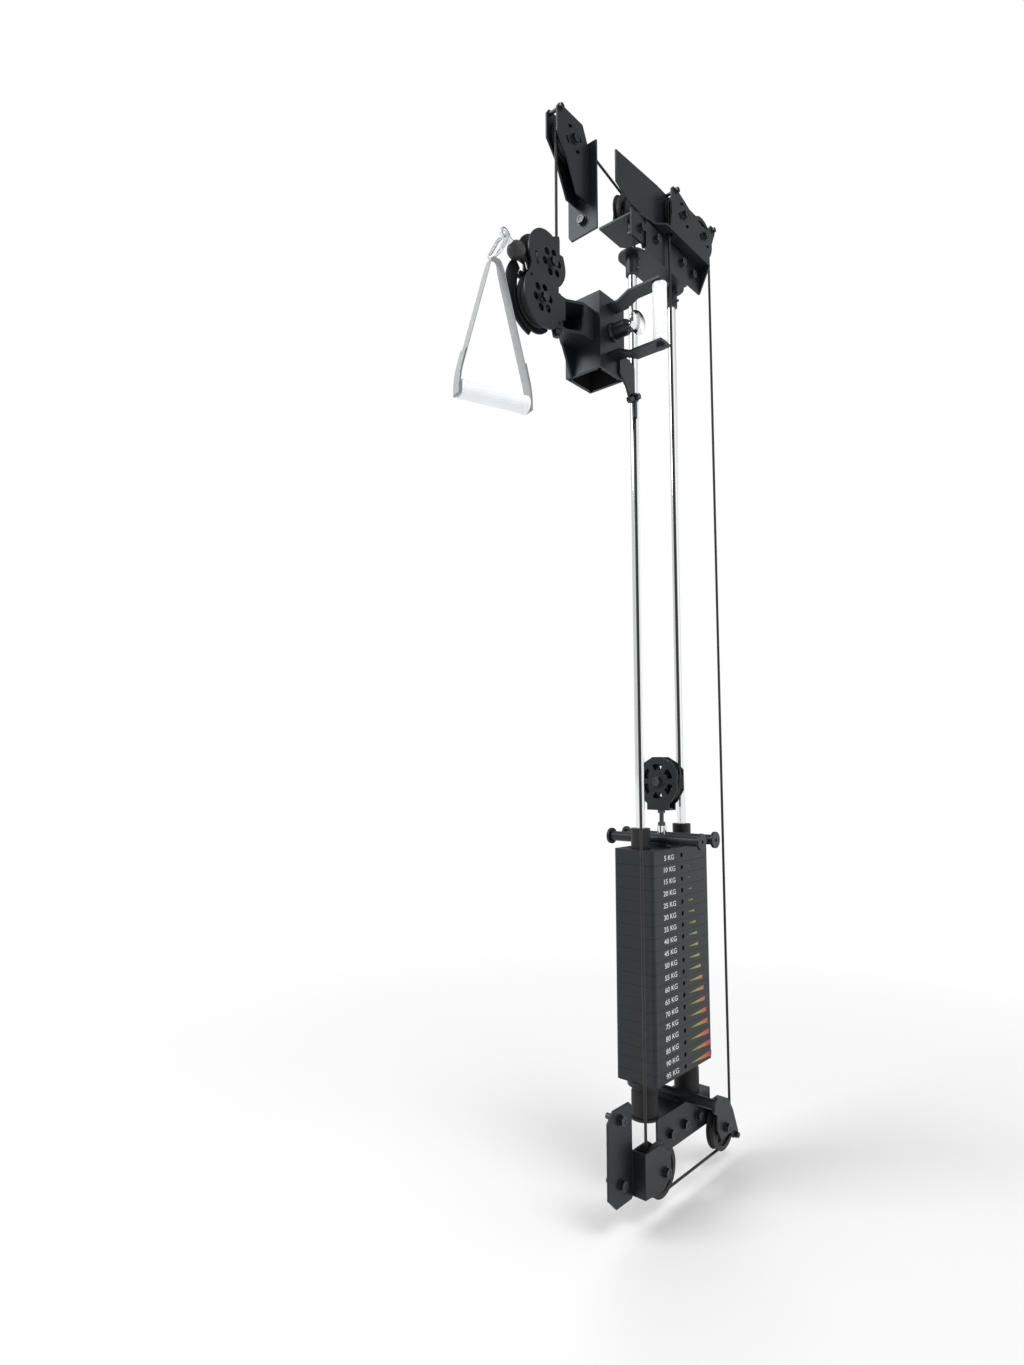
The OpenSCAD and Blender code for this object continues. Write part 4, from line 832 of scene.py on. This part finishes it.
# Handle strap: grey polyester webbing with a plain weave and a firmer selvedge, doubled and
# sewn at both ends, where the grip's end caps hold it. Its top meets the carabiner's lower bend
# from below, near LINK_BEND_Z, and isn't threaded through.
GRIP_SPOT = np.array([0.0, -327.0, 1585.0])
GRIP_TURN = math.radians(70.8 - 90)
GRIP_LONG = 142.0
GRIP_R = 18.0
STRAP_WIDE = 25.0
STRAP_THICK = 2.2
STRAP_FOOT = -13.0
STRAP_OUT = 3.6
STRAP_PINCH = 0.45
LINK_BEND_Z = 1858.8
STRAP_UNDER = 3.0
STRAP_TOP = LINK_BEND_Z - float(GRIP_SPOT[2]) - STRAP_UNDER
RIB_STEP = 0.0016
YARN_STEP = 0.0012
SELVEDGE_FROM = 0.0108
CURVE_STEPS = 9


def on_grip(points):
    """Grip's own millimetres (X across the strap, Y along the grip, Z up) into the post's."""
    c, s = math.cos(GRIP_TURN), math.sin(GRIP_TURN)
    p = np.asarray(points, float)
    return np.stack([c * p[..., 0] - s * p[..., 1], s * p[..., 0] + c * p[..., 1], p[..., 2]],
                    -1) + GRIP_SPOT


def rounded(corners, radii):
    """Path through corners with each inner corner replaced by a curve that leaves the straight
    sides radii before and after it: a quadratic Bezier on (before, corner, after)."""
    corners = np.array(corners, float)
    path = [corners[:1]]
    for p, c, q, r in zip(corners, corners[1:], corners[2:], radii):
        before = c + (p - c) / np.linalg.norm(p - c) * r
        after = c + (q - c) / np.linalg.norm(q - c) * r
        t = np.linspace(0, 1, CURVE_STEPS)[:, None]
        path.append((1 - t) ** 2 * before + 2 * t * (1 - t) * c + t ** 2 * after)
    path.append(corners[-1:])
    return np.vstack(path)


def ribbon(name, path, wide, thick, pinch=0.0):
    """Webbing along a path in the grip's (y, z) plane. Its section is a flat band with round
    selvedges, set square to the path, and narrower by pinch exp(-(d / 17)^2) at d millimetres
    from the path's middle, where it bunches. Its map holds the metres along and across it."""
    reach = np.append(0, np.cumsum(np.linalg.norm(np.diff(path, axis=0), axis=1)))
    run = np.linspace(0, reach[-1], int(reach[-1] / 2) + 2)
    line = np.stack([np.interp(run, reach, path[:, 0]), np.interp(run, reach, path[:, 1])], -1)
    way = np.gradient(line, axis=0)
    way /= np.linalg.norm(way, axis=1)[:, None]
    out = np.stack([way[:, 1], -way[:, 0]], -1)
    a = np.linspace(0, 2 * np.pi, 24, endpoint=False)
    x = (wide - thick) / 2 * np.sign(np.cos(a)) * np.abs(np.cos(a)) ** 0.35
    x = x + thick / 2 * np.cos(a)
    h = thick / 2 * np.sign(np.sin(a)) * np.abs(np.sin(a)) ** 0.5
    near = np.exp(-((run - reach[-1] / 2) / 17) ** 2)
    grid = np.stack([x[None, :] * (1 - pinch * near[:, None]),
                     line[:, :1] + h[None] * out[:, :1],
                     line[:, 1:] + h[None] * out[:, 1:]], -1)
    uv = np.stack(np.meshgrid(run * MM, np.append(x, x[0]) * MM, indexing="ij"), -1)
    return skin(name, (on_grip(grid) + POST) * MM, uv), run[-1] * MM


def webbing():
    """Plain weave of flat yarns: ribs across the strap every 1.6 mm and yarns along it every
    1.2 mm, one set over the other by turns. Its colour has a painted highlight on the
    crowns and painted shade in the hollows."""
    cloth = Finish("grey_webbing", Roughness=0.82, IOR=1.5)
    spot = cloth.node("ShaderNodeUVMap", settings={"uv_map": "along"})
    run = cloth.node("ShaderNodeSeparateXYZ", out="X", Vector=spot)
    side = cloth.node("ShaderNodeSeparateXYZ", out="Y", Vector=spot)
    rib = (run * (2 * math.pi / RIB_STEP)).math("SINE")
    yarn = (side * (2 * math.pi / (2 * YARN_STEP))).math("SINE")
    weave = (rib * yarn) * 0.3 + rib * 0.2 + 0.5
    edge = side.math("ABSOLUTE").math("GREATER_THAN", SELVEDGE_FROM)
    # Painted highlight and painted shade: the weave's crowns are lighter and its hollows darker. A
    # random mottle is mixed in, and the selvedge is darker.
    tone = weave * 0.6 + cloth.noise(160.0, 4.0) * 0.4 - edge * 0.12
    cloth.feed(Base_Color=cloth.ramp(tone, (0.15, (0.2, 0.205, 0.21)),
                                     (0.75, (0.47, 0.475, 0.48))))
    cloth.bump(weave, 0.8, 0.0004)
    return cloth.material


WEBBING = webbing()
half = GRIP_LONG / 2
strap_y = half + STRAP_OUT
strap_path = rounded([(-strap_y, STRAP_FOOT), (-strap_y, 22), (-9, STRAP_TOP), (9, STRAP_TOP),
                      (strap_y, 22), (strap_y, STRAP_FOOT)], (24, 8, 8, 24))
strap_mesh, strap_long = ribbon("strap", strap_path, STRAP_WIDE, STRAP_THICK, STRAP_PINCH)
strap = stand("strap", strap_mesh, WEBBING, "handle", "webbing", "handle_strap")
for side_name, sign in (("left", -1), ("right", 1)):
    y = strap_y + STRAP_THICK
    tail_path = rounded([(sign * y, STRAP_FOOT + 1), (sign * y, 22), (sign * (y - 13.5), 77)],
                        (24,))
    tail_mesh, _ = ribbon("strap_tail", tail_path, STRAP_WIDE, STRAP_THICK)
    stand(f"strap_tail_{side_name}", tail_mesh, WEBBING, "handle", "webbing")

# Hand grip: a steel tube in a thick white sleeve, fluted lengthwise, between two end collars.
grip_way = on_grip((0, 1, 0)) - on_grip((0, 0, 0))
stand("hand_grip_fluted", turned(
    "hand_grip_fluted", on_grip((0, -half, 0)), grip_way, (0, 0, 1),
    [(0, 15.5), (0.8, 17.4), (1.8, GRIP_R), (6.5, GRIP_R), (8, 16.6), (GRIP_LONG - 8, 16.6),
     (GRIP_LONG - 6.5, GRIP_R), (GRIP_LONG - 1.8, GRIP_R), (GRIP_LONG - 0.8, 17.4),
     (GRIP_LONG, 15.5)], 256, 32, 0.4, 8.5),
    WHITE_RUBBER, "hand_grip", "grip_foam", "handle_grip")
for side_name, sign in (("left", -1), ("right", 1)):
    stand(f"grip_tube_end_{side_name}", turned(
        "grip_tube_end", on_grip((0, sign * (half - 1), 0)), grip_way * sign, (0, 0, 1),
        [(0, 4.4), (6.6, 4.4), (7.2, 4.0), (7.5, 3.2)], 40), CHROME, "hand_grip", "chrome")
